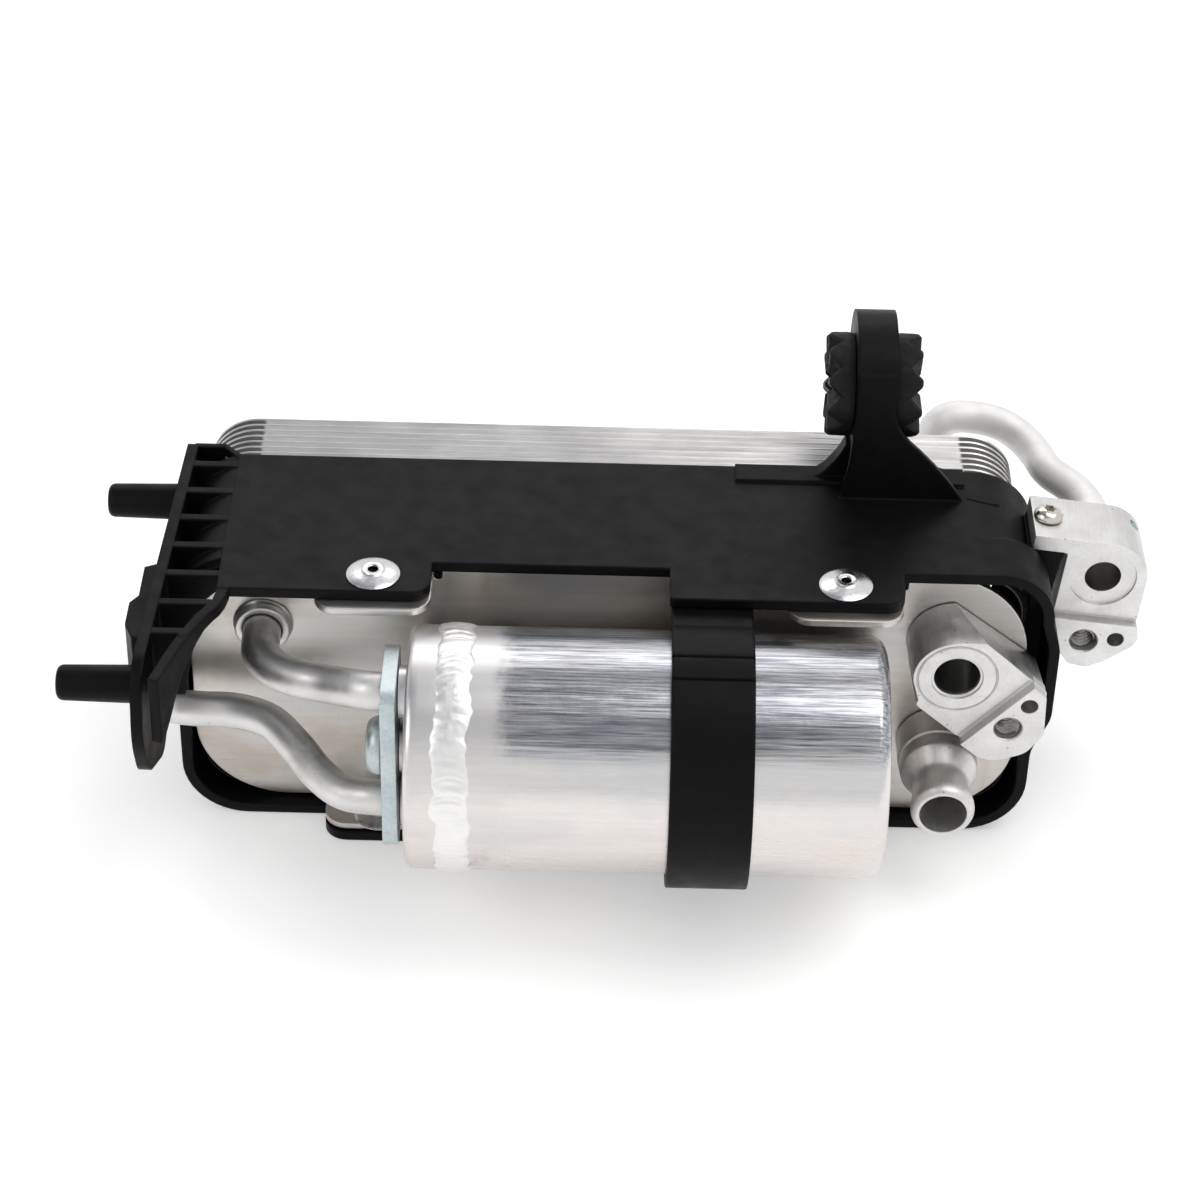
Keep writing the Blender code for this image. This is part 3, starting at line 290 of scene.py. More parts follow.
def soften(bm, width, segments=2, angle=28):
    """Rounds every crisp edge by a small radius, as a mould or a deburring tool leaves it."""
    bmesh.ops.dissolve_degenerate(cleaned(bm), dist=0.002, edges=bm.edges)
    limit = radians(angle)
    crisp = [e for e in bm.edges if len(e.link_faces) == 2 and e.calc_face_angle(0) > limit]
    bmesh.ops.bevel(bm, geom=crisp, offset=width, segments=segments, profile=0.5, affect="EDGES", miter_outer="ARC")
    return bm


def piece(name, bm, look, nodes, smooth=38):
    """Turns a solid in millimetres into a finished piece on the root body."""
    bmesh.ops.scale(bm, vec=(MM, MM, MM), verts=bm.verts)
    bmesh.ops.recalc_face_normals(bm, faces=bm.faces)
    mesh = mesh_of(bm, name)
    mesh.shade_smooth()
    mesh.set_sharp_from_angle(angle=radians(smooth))
    mesh.materials.append(look.material)
    made = placed(name, mesh)
    # Flat faces keep their own normals beside small roundings
    made.modifiers.new("flat_faces", "WEIGHTED_NORMAL").keep_sharp = True
    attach(made, "root")
    if nodes:
        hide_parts(*nodes)


# Routes for tubes

def smooth_route(route):
    """A route with a point about every millimetre, rounded through the places that it is given."""
    places = [Vector(p) for p in route]
    places = [2 * places[0] - places[1]] + places + [2 * places[-1] - places[-2]]
    found = []
    for a, b, c, d in zip(places, places[1:], places[2:], places[3:]):
        times = [0]
        for p, q in ((a, b), (b, c), (c, d)):
            times.append(times[-1] + sqrt((q - p).length))
        count = max(1, round((c - b).length))
        found += [centripetal(a, b, c, d, times, times[1] + (times[2] - times[1]) * k / count) for k in range(count)]
    return found + [places[-2]]


def centripetal(a, b, c, d, times, t):
    def mix(p, q, s, e):
        return p * ((e - t) / (e - s)) + q * ((t - s) / (e - s))

    ab, bc, cd = (mix(p, q, s, e) for p, q, s, e in zip((a, b, c), (b, c, d), times, times[1:]))
    return mix(mix(ab, bc, times[0], times[2]), mix(bc, cd, times[1], times[3]), times[1], times[2])


def swept(route, radius, wander, steps=40):
    """A tube along a smooth route, a little uneven where it was bent."""
    points = smooth_route(route)
    rings = []
    side = None
    for i, point in enumerate(points):
        ahead = (points[min(i + 1, len(points) - 1)] - points[max(i - 1, 0)]).normalized()
        if side is None:
            side = ahead.orthogonal().normalized()
        side = (side - ahead * side.dot(ahead)).normalized()
        up = ahead.cross(side)
        ring = []
        for k in range(steps):
            angle = tau * k / steps
            out = side * cos(angle) + up * sin(angle)
            ring.append(point + out * (radius + wander * noise.noise((point + out * radius) * 0.12)))
        rings.append(ring)
    return skin(rings, capped=True)


# Materials

def node(tree, kind, inputs=(), output=0, **settings):
    """A shader node's output; each input of the node takes a value or another node's output."""
    made = tree.nodes.new("ShaderNode" + kind)
    for name, value in settings.items():
        setattr(made, name, value)
    for key, value in dict(inputs).items():
        if isinstance(value, bpy.types.NodeSocket):
            tree.links.new(value, made.inputs[key])
        else:
            made.inputs[key].default_value = value
    return made.outputs[output]


def rgba(value):
    """A colour with alpha, from a grey level or from red, green and blue."""
    return (*(value if isinstance(value, tuple) else (value,) * 3), 1)


class Look:
    """A small builder for one node material with coordinates in millimetres."""

    def __init__(self, name, colour, roughness, metallic=1, specular=0.5):
        self.material = bpy.data.materials.new(name)
        self.material.use_nodes = True
        self.material.diffuse_color = rgba(colour)
        self.tree = self.material.node_tree
        self.shader = self.tree.nodes["Principled BSDF"]
        for key, value in {"Base Color": rgba(colour), "Roughness": roughness, "Metallic": metallic,
                           "Specular IOR Level": specular}.items():
            self.shader.inputs[key].default_value = value
        self.coords = self.node("TexCoord", output="Object")

    def node(self, kind, inputs=(), output=0, **settings):
        return node(self.tree, kind, inputs, output, **settings)

    def into(self, key, source):
        self.tree.links.new(source, self.shader.inputs[key])

    def space(self, scale=(1, 1, 1), shift=(0, 0, 0)):
        """Coordinates in millimetres, stretched per axis."""
        scale = [1000 * s for s in scale]
        return self.node("Mapping", {"Scale": scale, "Location": shift, "Vector": self.coords})

    def noise(self, size, detail=4, roughness=0.55, stretch=(1, 1, 1), shift=(0, 0, 0), distortion=0):
        vector = self.space([s / size for s in stretch], shift)
        return self.node("TexNoise", {"Scale": 1, "Detail": detail, "Roughness": roughness,
                                      "Distortion": distortion, "Vector": vector}, "Fac")

    def spots(self, size, shift=(0, 0, 0)):
        return self.node("TexVoronoi", {"Scale": 1, "Vector": self.space([1 / size] * 3, shift)}, "Distance")

    def ramp(self, source, *stops):
        made = self.tree.nodes.new("ShaderNodeValToRGB")
        elements = made.color_ramp.elements
        while len(elements) < len(stops):
            elements.new(0.5)
        for element, (place, value) in zip(elements, stops):
            element.position = place
            element.color = rgba(value)
        self.tree.links.new(source, made.inputs["Fac"])
        return made.outputs["Color"]

    def mix(self, factor, first, second, mode="MIX"):
        first, second = (v if isinstance(v, bpy.types.NodeSocket) else rgba(v) for v in (first, second))
        return self.node("Mix", {0: factor, 6: first, 7: second}, 2, data_type="RGBA", blend_type=mode)

    def shaded(self, base, shade, factor=1):
        return self.mix(factor, base, shade, "MULTIPLY")

    def maths(self, operation, *values):
        return self.node("Math", enumerate(values), operation=operation)

    def times(self, first, second):
        return self.maths("MULTIPLY", first, second)

    def plus(self, first, second):
        return self.maths("ADD", first, second)

    def axis(self, name):
        """One coordinate in millimetres."""
        return self.node("SeparateXYZ", {"Vector": self.space()}, name)

    def step(self, source, low, high):
        return self.node("MapRange", {"From Min": low, "From Max": high, "Value": source}, "Result",
                         interpolation_type="SMOOTHSTEP")

    def near(self, place, inner, outer):
        """1 within the inner radius of a place, falling to 0 at the outer one."""
        distance = self.node("VectorMath", {0: self.space(), 1: place}, "Value", operation="DISTANCE")
        return self.step(distance, outer, inner)

    def colour(self, source):
        self.into("Base Color", source)

    def rough(self, pattern, low, high):
        self.into("Roughness", self.ramp(pattern, (0.3, low), (0.7, high)))

    def bevelled(self, radius):
        """Edges that catch the light as if rounded by a radius in millimetres."""
        self.into("Normal", self.node("Bevel", {"Radius": radius * MM}, samples=6))

    def bump(self, source, depth):
        """A bump whose depth is in millimetres; a second call adds to the first."""
        inputs = {"Distance": depth * MM, "Strength": 1, "Height": source}
        before = self.shader.inputs["Normal"].links
        if before:
            inputs["Normal"] = before[0].from_socket
        self.into("Normal", self.node("Bump", inputs))


def plastic_look():
    look = Look("black_moulded_plastic", (0.008, 0.008, 0.009), 0.45, 0, 0.1)
    dust = look.times(look.ramp(look.spots(3.1), (0, 1), (0.055, 0)),
                      look.ramp(look.noise(9, 5, shift=(3, 9, 1)), (0.42, 0), (0.62, 1)))
    scuff = look.ramp(look.noise(2.6, 6, 0.7, (0.35, 1, 1), (6, 1, 8)), (0.6, 0), (0.74, 1))
    base = look.mix(look.noise(22, 3), (0.0026, 0.0026, 0.0031), (0.005, 0.005, 0.0057))
    base = look.mix(look.times(scuff, 0.3), base, (0.018, 0.018, 0.019))
    look.colour(look.mix(look.times(dust, 0.4), base, (0.14, 0.135, 0.13)))
    look.rough(look.noise(6, 5, 0.6), 0.36, 0.52)
    look.bevelled(1)
    look.bump(look.noise(0.55, 2, 0.6), 0.016)
    look.bump(look.noise(30, 2), 0.2)
    return look


def end_plate_look():
    look = Look("end_plate_sheet", (0.56, 0.54, 0.51), 0.36)
    rolled = look.noise(2.2, 5, 0.6, (0.06, 1, 1))
    stain = look.noise(26, 5, 0.62, (0.7, 1, 1), (4, 0, 2), 0.8)
    warm = look.ramp(stain, (0.34, (0.62, 0.615, 0.61)), (0.5, (0.64, 0.61, 0.575)), (0.66, (0.57, 0.515, 0.46)))
    streaked = look.shaded(warm, look.ramp(rolled, (0.3, 0.66), (0.7, 1)), 0.35)
    marks = look.ramp(look.noise(1.6, 6, 0.75, shift=(7, 1, 3)), (0.6, 1), (0.7, 0.55))
    marked = look.shaded(streaked, marks, 0.6)
    scratch = look.ramp(look.noise(0.7, 3, 0.5, (0.1, 1, 1.6), (2, 2, 9)), (0.69, 1), (0.73, 0.5))
    corner = look.times(look.near((-88, 0, 14), 8, 26), 0.8)
    look.colour(look.mix(corner, marked, look.shaded(marked, scratch)))
    look.rough(look.noise(9, 5, stretch=(0.3, 1, 1)), 0.28, 0.44)
    look.bump(rolled, 0.012)
    look.bump(look.noise(18, 3), 0.12)
    return look


def stack_look():
    """Brazed rims: ground pale along the straights, with painted shade between the lips at the corners."""
    look = Look("brazed_stack", (0.62, 0.61, 0.6), 0.42)
    streak = look.noise(1.6, 5, 0.65, (0.05, 1, 1), (1, 3, 5))
    base = look.ramp(look.noise(20), (0.35, (0.56, 0.55, 0.545)), (0.65, (0.7, 0.69, 0.68)))
    pale = look.shaded(base, look.ramp(streak, (0.34, 0.55), (0.56, 1)), 0.55)
    rows = look.maths("SUBTRACT", look.axis("Y"), STACK_FRONT + TRAY_DEPTH - 0.62)
    rows = look.maths("FRACT", look.maths("DIVIDE", rows, TRAY_PITCH))
    lip = look.maths("LESS_THAN", rows, 0.64 / TRAY_PITCH)
    reach = look.plus(look.maths("ABSOLUTE", look.axis("X")), look.times(look.noise(3, 3, shift=(9, 9, 9)), 1.6))
    # Painted shade: the recesses between the lips at the corners are darkened, and the same mask makes them rougher
    painted_gap_shade = look.times(look.step(reach, 94, 95.2), look.maths("SUBTRACT", 1, lip))
    dark = look.mix(look.noise(1.2), (0.085, 0.083, 0.078), (0.15, 0.147, 0.14))
    look.colour(look.mix(painted_gap_shade, pale, dark))
    look.into("Roughness", look.mix(painted_gap_shade, look.ramp(streak, (0.3, 0.46), (0.7, 0.32)), 0.62))
    look.bump(streak, 0.05)
    return look


def sheet_look():
    look = Look("back_sheet_rolled", (0.62, 0.61, 0.6), 0.4)
    rolled = look.noise(2.4, 5, 0.6, (0.05, 1, 1), (4, 4, 2))
    cloud = look.noise(24, shift=(6, 3, 3))
    base = look.ramp(cloud, (0.35, (0.57, 0.56, 0.55)), (0.65, (0.67, 0.66, 0.65)))
    look.colour(look.shaded(base, look.ramp(rolled, (0.35, 0.65), (0.6, 1)), 0.4))
    look.rough(look.noise(8, 5), 0.32, 0.5)
    look.bump(rolled, 0.02)
    look.bump(cloud, 0.12)
    return look


def bottle_look():
    """Drawn aluminium, smoother and whiter by the weld, with a painted blue-grey reflection on top and a painted warm
    reflection below.
    """
    look = Look("drawn_bottle", (0.7, 0.69, 0.68), 0.26)
    drawn = look.noise(0.9, 5, 0.7, (0.015, 1, 1))
    fine = look.noise(0.32, 3, 0.6, (0.03, 1, 1), (5, 5, 5))
    patch = look.noise(15, 5, 0.6, (0.35, 1, 1), (2, 1, 4), 0.5)
    tone = look.ramp(patch, (0.35, (0.66, 0.665, 0.68)), (0.52, (0.74, 0.73, 0.72)), (0.68, (0.72, 0.69, 0.675)))
    height = look.axis("Z")
    # Painted reflection: below the middle height the metal is tinted warm
    warm = look.step(look.plus(height, look.times(look.noise(8, 3), 6)), 72, 52)
    tone = look.mix(look.times(warm, 0.75), tone, look.shaded(tone, (1, 0.945, 0.915)))
    # The drawn streaks, and the painted blue-grey reflection on top, start past the zone that the weld heated
    edge = look.plus(look.axis("X"), look.times(look.noise(4, 5, 0.7, shift=(3, 7, 7)), 9))
    past = look.step(edge, -24, -18)
    # Painted reflection: blue-grey streaks darken the top of the bottle
    painted_top_reflection = look.times(look.step(height, 66, 71), past)
    dark = look.ramp(look.mix(0.45, drawn, fine), (0.4, (0.17, 0.185, 0.22)), (0.6, (0.86, 0.88, 0.92)))
    tone = look.mix(look.times(painted_top_reflection, 0.92), tone, look.shaded(tone, dark))
    soot = look.ramp(look.noise(5, 5, 0.65, shift=(1, 6, 2)), (0.52, 0), (0.7, 1))
    low = look.times(look.near((-31, -60, 30), 3, 16), soot)
    tone = look.mix(look.times(low, 0.6), tone, (0.36, 0.29, 0.25))
    look.colour(look.shaded(tone, look.ramp(drawn, (0.3, 0.72), (0.65, 1)), 0.25))
    polish = look.ramp(look.mix(0.5, patch, drawn), (0.3, 0.19), (0.7, 0.33))
    look.into("Roughness", look.mix(past, 0.36, polish))
    look.bump(look.times(drawn, past), 0.02)
    look.bump(fine, 0.006)
    look.bump(look.noise(14, 3, shift=(2, 2, 2)), 0.1)
    return look


def tube_look(name="bent_tube", low=0.66, high=0.76, matte=0, smoked=1):
    look = Look(name, (high, high, high), 0.46 + matte)
    pits = look.ramp(look.spots(2.3), (0.05, 0.5), (0.13, 1))
    where = look.ramp(look.noise(7, shift=(8, 2, 2)), (0.47, 0), (0.6, 1))
    tone = look.ramp(look.noise(11, 5, 0.6), (0.35, (low, low - 0.01, low - 0.025)),
                     (0.65, (high, high - 0.01, high - 0.02)))
    pitted = look.mix(where, tone, look.shaded(tone, pits))
    # Smoke stains by the collar and on the low bend
    smoke = look.plus(look.near((-88, -12, 64), 2, 12), look.near((-76, -22, 38), 1, 10))
    smoke = look.times(smoke, look.ramp(look.noise(5, shift=(5, 1, 2)), (0.38, 0.05), (0.62, 0.6)))
    look.colour(look.mix(look.times(smoke, smoked), pitted, (0.3, 0.295, 0.29)))
    look.rough(look.noise(4, 5, 0.65), 0.40 + matte, 0.54 + matte)
    look.bump(look.noise(6, 4, 0.6), 0.06)
    look.bump(look.noise(0.7, 3, 0.6), 0.01)
    return look


def machined_look(name="machined_block", centre=None, mark=None, shine=0.06):
    look = Look(name, (0.72, 0.71, 0.7), 0.36 + shine)
    scratch = look.noise(0.8, 4, 0.7, (1, 0.08, 1), (2, 4, 4))
    tone = look.ramp(look.noise(9, 5, 0.6, shift=(1, 2, 3)), (0.35, (0.66, 0.65, 0.64)), (0.65, (0.76, 0.755, 0.745)))
    tone = look.shaded(tone, look.ramp(scratch, (0.35, 0.72), (0.6, 1)), 0.3)
    tone = look.shaded(tone, look.ramp(look.spots(3.6, (2, 5, 1)), (0.05, 0.35), (0.1, 1)), 0.7)
    if mark:
        dash = look.times(look.near(mark, 1.5, 2), look.ramp(look.noise(1.4), (0.35, 0.3), (0.5, 1)))
        tone = look.mix(dash, tone, (0.06, 0.24, 0.22))
    look.colour(tone)
    look.rough(look.noise(5, 5, 0.6), 0.28 + shine, 0.44 + shine)
    look.bump(scratch, 0.012)
    look.bump(look.noise(8, 3), 0.06)
    if centre:
        vector = look.space(shift=(-centre[0], 0, -centre[1]))
        rings = look.node("TexWave", {"Scale": 1.6, "Distortion": 0.4, "Vector": vector}, "Fac",
                          wave_type="RINGS", rings_direction="Y")
        look.bump(rings, 0.008)
    return look


def zinc_look():
    look = Look("zinc_plate", (0.52, 0.58, 0.6), 0.4, 0.85)
    grain = look.noise(0.9, 5, 0.75)
    tone = look.ramp(grain, (0.35, (0.4, 0.45, 0.47)), (0.6, (0.6, 0.66, 0.68)))
    cloud = look.ramp(look.noise(8, shift=(4, 4, 1)), (0.35, (0.46, 0.54, 0.56)), (0.65, (0.7, 0.75, 0.76)))
    look.colour(look.mix(0.4, tone, cloud))
    look.rough(grain, 0.32, 0.5)
    look.bump(grain, 0.03)
    return look


def rivet_look():
    look = Look("rivet_head", (0.74, 0.74, 0.74), 0.18)
    tone = look.mix(look.noise(2.5, 5, 0.65), (0.6, 0.6, 0.61), (0.82, 0.82, 0.82))
    # Painted shade: the pits in the top rivets' heads are darkened
    painted_pit_shade = [look.near((x, RIVET[1], BAND_TOP + 0.8), 1.25, 1.6) for x in (RIVET[0], -RIVET[0])]
    look.colour(look.mix(look.plus(*painted_pit_shade), tone, (0.07, 0.068, 0.065)))
    look.rough(look.noise(1.4, 5, 0.7), 0.16, 0.34)
    look.bump(look.noise(1.8, 4, 0.6), 0.05)
    return look


def plain_look(name, colour, roughness, tone, dark, pale, grain, low, high, bump=None, metallic=1, specular=0.5):
    """Two tones blended by one noise, and two degrees of roughness by another."""
    look = Look(name, colour, roughness, metallic, specular)
    look.colour(look.mix(look.noise(*tone), dark, pale))
    look.rough(look.noise(*grain), low, high)
    if bump:
        look.bump(look.noise(*bump[:3]), bump[3])
    return look


PLASTIC = plastic_look()
END_PLATE = end_plate_look()
STACK = stack_look()
SHEET = sheet_look()
BOTTLE = bottle_look()
TUBE = tube_look()
PALE_TUBE = tube_look("pale_tube", 0.78, 0.88, 0.16, 0)
MACHINED = machined_look()
TURNED = machined_look("turned_metal", shine=0.14)
GAS_METAL = machined_look("machined_gas_block", PORT_HIGH)
LIQUID_METAL = machined_look("machined_liquid_block", LIQUID, (137.6, 28.8, 78.7))
ZINC = zinc_look()
RIVET_METAL = rivet_look()
RUBBER = plain_look("black_rubber_dressed", (0.007, 0.007, 0.008), 0.7, (5, 6, 0.7), (0.005, 0.005, 0.0055),
                    (0.013, 0.0125, 0.0125), (2.2,), 0.45, 0.72, (0.9, 4, 0.6, 0.05), 0, 0.2)
WELD = plain_look("weld_bead", (0.84, 0.83, 0.82), 0.44, (5, 5), (0.76, 0.755, 0.75), (0.9, 0.89, 0.88),
                  (2.5, 5, 0.7), 0.34, 0.54, (1.1, 4, 0.6, 0.05))
NICKEL = plain_look("nickel_screw", (0.66, 0.62, 0.57), 0.16, (1.5, 5, 0.65), (0.52, 0.48, 0.43),
                    (0.8, 0.77, 0.72), (1, 5, 0.7), 0.12, 0.26)
# Painted shade: a dark grey lining stands in for the shade inside the bores
BORE_SHADE = plain_look("bore_painted_shade", (0.3, 0.29, 0.28), 0.35, (2,), (0.22, 0.215, 0.21), (0.36, 0.35, 0.34),
                  (1.2,), 0.28, 0.45)
# Painted shade: the thread lining is dark grey, standing in for the shade inside the tapped holes
THREAD_SHADE = plain_look("thread_painted_shade", (0.26, 0.255, 0.25), 0.26, (1.5,), (0.2, 0.195, 0.19), (0.34, 0.33, 0.32),
                    (1,), 0.2, 0.34)
GROOVE = plain_look("parting_line", (0.0025, 0.0025, 0.0025), 0.8, (4,), 0.0018, 0.004, (2,), 0.7, 0.9,
                    None, 0, 0.05)


# Plate stack

def core_stack():
    """Every dished plate's flared rim, nested one in the next, with its lip towards the back."""
    bm = bmesh.new()
    rim = [(2.15, 0), (1.85, 0.08), (1.7, 0.35), (0.24, 4.42), (0.1, 4.55), (0, 4.72), (0, 4.88),
           (0.08, 4.98), (0.42, 5), (0.52, 4.86), (2.2, 0.55)]
    for number in range(TRAY_COUNT):
        rings = []
        for inset, depth in rim:
            ring = []
            for x, z in core_outline(inset):
                uneven = 0.05 * noise.noise(Vector((x * 0.06, z * 0.06, number * 3.7)))
                ring.append((x, STACK_FRONT + number * TRAY_PITCH + depth - abs(uneven), z))
            rings.append(ring)
        skin(rings, looped=True, bm=bm)
    nodes = [f"core_plate_{i + 1:02d}" for i in range(TRAY_COUNT)]
    piece("core_stack", bm, STACK, nodes, 50)


def rivet_hole(side):
    return rod((side * RIVET[0], RIVET[1], -5), (side * RIVET[0], RIVET[1], 100), RIVET_HOLE)


def shelf(sides, back, front, corners, low, high):
    """A flat shelf or tab that reaches to the front, with two rounded corners."""
    left, right = sides
    plan = filleted([(left, back), (left, front, corners[0]), (right, front, corners[1]), (right, back)])
    return prism(plan, "Z", low, high)


def front_plate():
    outline = rectangle((-CORE_WIDTH / 2, CORE_BOTTOM), (CORE_WIDTH / 2, CORE_TOP), END_CORNER, 14)
    tabs, cuts = [], []
    for side in (-1, 1):
        inner, outer = sorted(side * x for x in TAB_SIDES)
        for reach, bottom in ((20, TAB_HIGH - END_SHEET), (13.5, TAB_LOW)):
            tabs.append(shelf((inner, outer), 1.2, -reach, (6, 6), bottom, bottom + END_SHEET))
        for edge, way in ((inner, -1), (outer, 1)):
            for middle in (CORE_TOP, CORE_BOTTOM):
                left, right = sorted((edge, edge + way * 2.2))
                slit = rectangle((left, middle - 4.6), (right, middle + 4.6), 1, 5)
                cuts.append(prism(slit, "Y", -1, END_SHEET + 1))
        cuts.append(rivet_hole(side))
    plate = combine(prism(outline, "Y", 0, END_SHEET), tabs, "UNION")
    for (x, z), radius in ((PORT_HIGH, 5.9), ((-PORT_HIGH[0], PORT_HIGH[1]), 5.3), (PORT_LOW, 5.8)):
        cuts.append(bore(x, z, -5, 5, radius))
    plate = combine(plate, cuts, "DIFFERENCE")
    piece("end_plate_folded", soften(plate, 0.35), END_PLATE, ["front_plate"])


def back_plate():
    ports = [bore(x, z, 50, 80, radius) for x, z, radius in
             ((*PORT_HIGH, 4.9), (-PORT_HIGH[0], PORT_HIGH[1], 5), (-PORT_LOW[0], PORT_LOW[1], 6.1))]
    plate = combine(prism(core_outline(TRAY_FLARE), "Y", STACK_BACK + SEAT, BACK_FACE), ports, "DIFFERENCE")
    piece("back_sheet", soften(plate, 0.35), SHEET, ["back_plate"])


# Bracket

def shelves():
    low = BAND_TOP - BAND_WALL
    return [shelf((-98.7, -45.2), 0, SHELF_FRONT, (0.5, 5), low, BAND_TOP),
            shelf((15.3, 74.8), 0, SHELF_FRONT, (0.8, 5), low, BAND_TOP),
            shelf((-74.5, 74.5), 0, LOW_SHELF_FRONT, (6, 6), 0, BAND_WALL)]


def side_flange():
    outline = filleted([(49, BAND_TOP, 4), (-51, BAND_TOP, 10), (-55, 66, 20), (-50, 52.5, 12), (-29, 41.5, 8),
                        (-19.5, 50, 4), (49, 54, 6)])
    plate = prism(outline, "X", -2.9, 0)
    moved(plate, Matrix.Translation((SIDE_INNER, 0, 0)) @ Matrix.Rotation(-SIDE_TOE, 4, "Z"))
    made = [plate]
    for y in (38.5, -39):
        root = SIDE_INNER + tan(SIDE_TOE) * y - 1.2
        length = 22.2
        profile = [(0, 0), (4.9, 0), (4.5, length - 1.6), (4.35, length - 0.9), (3.9, length - 0.3),
                   (3.3, length), (0, length)]
        made.append(lathe(profile, (-1, 0, 0), (root, y, PEG_Z), 40))
    pad = filleted([(-115, 2), (-115, -30), (-119, -29), (-121.2, -24, 2), (-121.2, -15, 1),
                    (-119.2, -12), (-119.2, 0)], 4)
    made.append(prism(pad, "Z", 62, 79))
    return made


def flange_webs():
    made = []
    low, high = BAND_TOP - 16, BAND_TOP - 0.2
    for y in WEBS:
        left = SIDE_INNER + tan(SIDE_TOE) * y - 1
        right = SHELF_EDGE + 1
        web = [(left, high), (left, low), (right, low), (right, high)]
        if y < BAND_FRONT:
            # In front of the band the webs are gussets that grow towards the side plate
            if y < SHELF_FRONT:
                right = WALL_PLACE[0] + (y - WALL_PLACE[1]) / tan(WALL_ANGLE)
            web = [(left, high), (left, low - 3.5), (-105.5, low - 3.5), (-103.5, high - 8.8), (right, high - 3),
                   (right, high)]
        made.append(prism(web, "Y", y - 1.15, y + 1.15))
    shelf_side = [(-94, BAND_BACK - 0.1), (-98.6, BAND_BACK - 0.1), (-98.9, 10), (-98.7, SHELF_FRONT + 1),
                  (-94, SHELF_FRONT + 1)]
    made.append(prism(shelf_side, "Z", BAND_TOP - BAND_WALL, BAND_TOP))
    made.append(flange_wall(high))
    tongue = [(-95.5, -12), (-95.7, -17), (-96.3, -20.5), (-97.4, -23.6), (-98.9, -26), (-101, -28.2),
              (-102.2, -30.8), (-103.4, -34.6), (-105, -36.6), (-106.2, -35.9), (-104.5, -31.6),
              (-102.8, -27.6), (-101, -24.5), (-99.3, -21.5), (-98.7, -18), (-98.7, -12)]
    made.append(prism(tongue, "Z", high - 3.2, high + 0.1))
    # A thin web and lip carry the side plate's back end past the band's corner
    made.append(block((-111, 45.4, 80.6), (-103.2, 46.9, high)))
    made.append(prism([(-104.4, 46.9), (-102.9, 46.9), (-97.6, 41.5), (-98.8, 40.4)], "Z", 82.4, high + 0.05))
    return made


def flange_wall(high):
    """The curved wall in front of the pockets, deeper towards the side plate."""
    line = [(-99.3, -21.5, 3), (-101, -24.5, 3.2), (-102.8, -27.6, 3.6), (-104.5, -31.6, 4.8),
            (-106.2, -35.9, 7), (-107.5, -39.4, 9), (-108.7, -43.4, 12.2), (-109.8, -47.4, 16),
            (-110.7, -50.6, 18.8), (-111.5, -53.4, 19.6)]
    rings = []
    for i, (x, y, depth) in enumerate(line):
        before, after = line[max(i - 1, 0)], line[min(i + 1, len(line) - 1)]
        way = Vector((after[0] - before[0], after[1] - before[1])).normalized() * 2.6
        inner = (x - way.y, y + way.x)
        rings.append([(x, y, high), (*inner, high), (*inner, high - depth), (x, y, high - depth)])
    return skin(rings, capped=True)


def bush_arm():
    low_x, high_x = RING[0] - RING_WIDTH / 2, RING[0] + RING_WIDTH / 2
    rise = sqrt(RING_RADIUS ** 2 - (RING[1] - ARM_FRONT) ** 2)
    kink = degrees(atan2(rise, ARM_FRONT - RING[1]))
    side = [(ARM_FRONT, BAND_TOP - 1)] + arc(RING[1:], RING_RADIUS, kink, -75, 48)
    side += [(BAND_BACK - 0.4, BAND_TOP - 1)]
    ring = prism(side, "X", low_x, high_x)
    foot = BAND_TOP - 1
    face = [(59.9, foot), (60.5, 90), (61.3, 94.4), (61.8, 99), (62, 102.5), (low_x + 0.1, RING[2]),
            (low_x + 0.1, RING[2] + rise), (high_x - 0.1, RING[2] + rise), (high_x - 0.1, 113.3), (72.8, 111.4),
            (73.3, 109.4), (74.2, 107.2), (75.4, 105.2), (77.3, 103.1), (79.8, 100.7), (83.8, 96.4), (87.8, 91.6),
            (92.7, foot)]
    front = prism(face, "Y", ARM_FRONT - 0.4, ARM_FRONT + 1.1)
    heel = [(48.5, foot), (48.5, BAND_TOP), (50.5, BAND_TOP + 0.15), (52.3, BAND_TOP + 0.5), (54.2, 86.6),
            (55.9, 88), (57.3, 89.8), (58.8, 91.9), (60, 94.1), (61.2, 96.8), (low_x + 0.5, 96.8),
            (high_x - 0.5, 96.8), (75.2, 94.8), (77.5, 92.5), (80, 90.5), (83, 88.6), (85.8, 87.2),
            (88.5, 86.2), (91, BAND_TOP + 0.3), (93, BAND_TOP), (93, foot)]
    rear = prism(heel, "Y", 37.2, BAND_BACK - 0.3)
    rib = block((32.6, 34.9, foot), (92.9, BAND_BACK, BAND_TOP + 0.8))
    return [ring, front, rear, rib]


def block_ear():
    top = LIQUID_ROUND - 4.8
    side = -LIQUID_ROUND - 0.6
    ear = prism([(-WING_REACH, top), (side, top), (side - 0.5, -3), (side - 0.4, -12), (side - 4, -20),
                 (-WING_REACH - 1.5, -20)], "Y", LIQUID_FRONT + 0.5, LIQUID_BACK - 0.5)
    return moved(ear, LIQUID_FRAME)


def bracket():
    seam = 12.5
    body = prism(band_outline(0), "Y", seam - 0.5, BAND_BACK)
    front = prism(band_outline(0, BAND_BULGE), "Y", BAND_FRONT, seam + 0.5)
    body = combine(body, [front, block_ear()] + shelves() + side_flange() + flange_webs() + bush_arm(), "UNION")
    cuts = [prism(band_outline(BAND_WALL), "Y", 0, BAND_BACK + 10),
            prism(band_outline(BAND_WALL, BAND_BULGE), "Y", BAND_FRONT - 0.5, seam),
            rod((RING[0] - 30, *RING[1:]), (RING[0] + 30, *RING[1:]), RING_BORE)]
    body = combine(body, cuts + [rivet_hole(side) for side in (-1, 1)], "DIFFERENCE")
    piece("bracket_moulding", cleaned(body), PLASTIC, ["bracket"], 26)


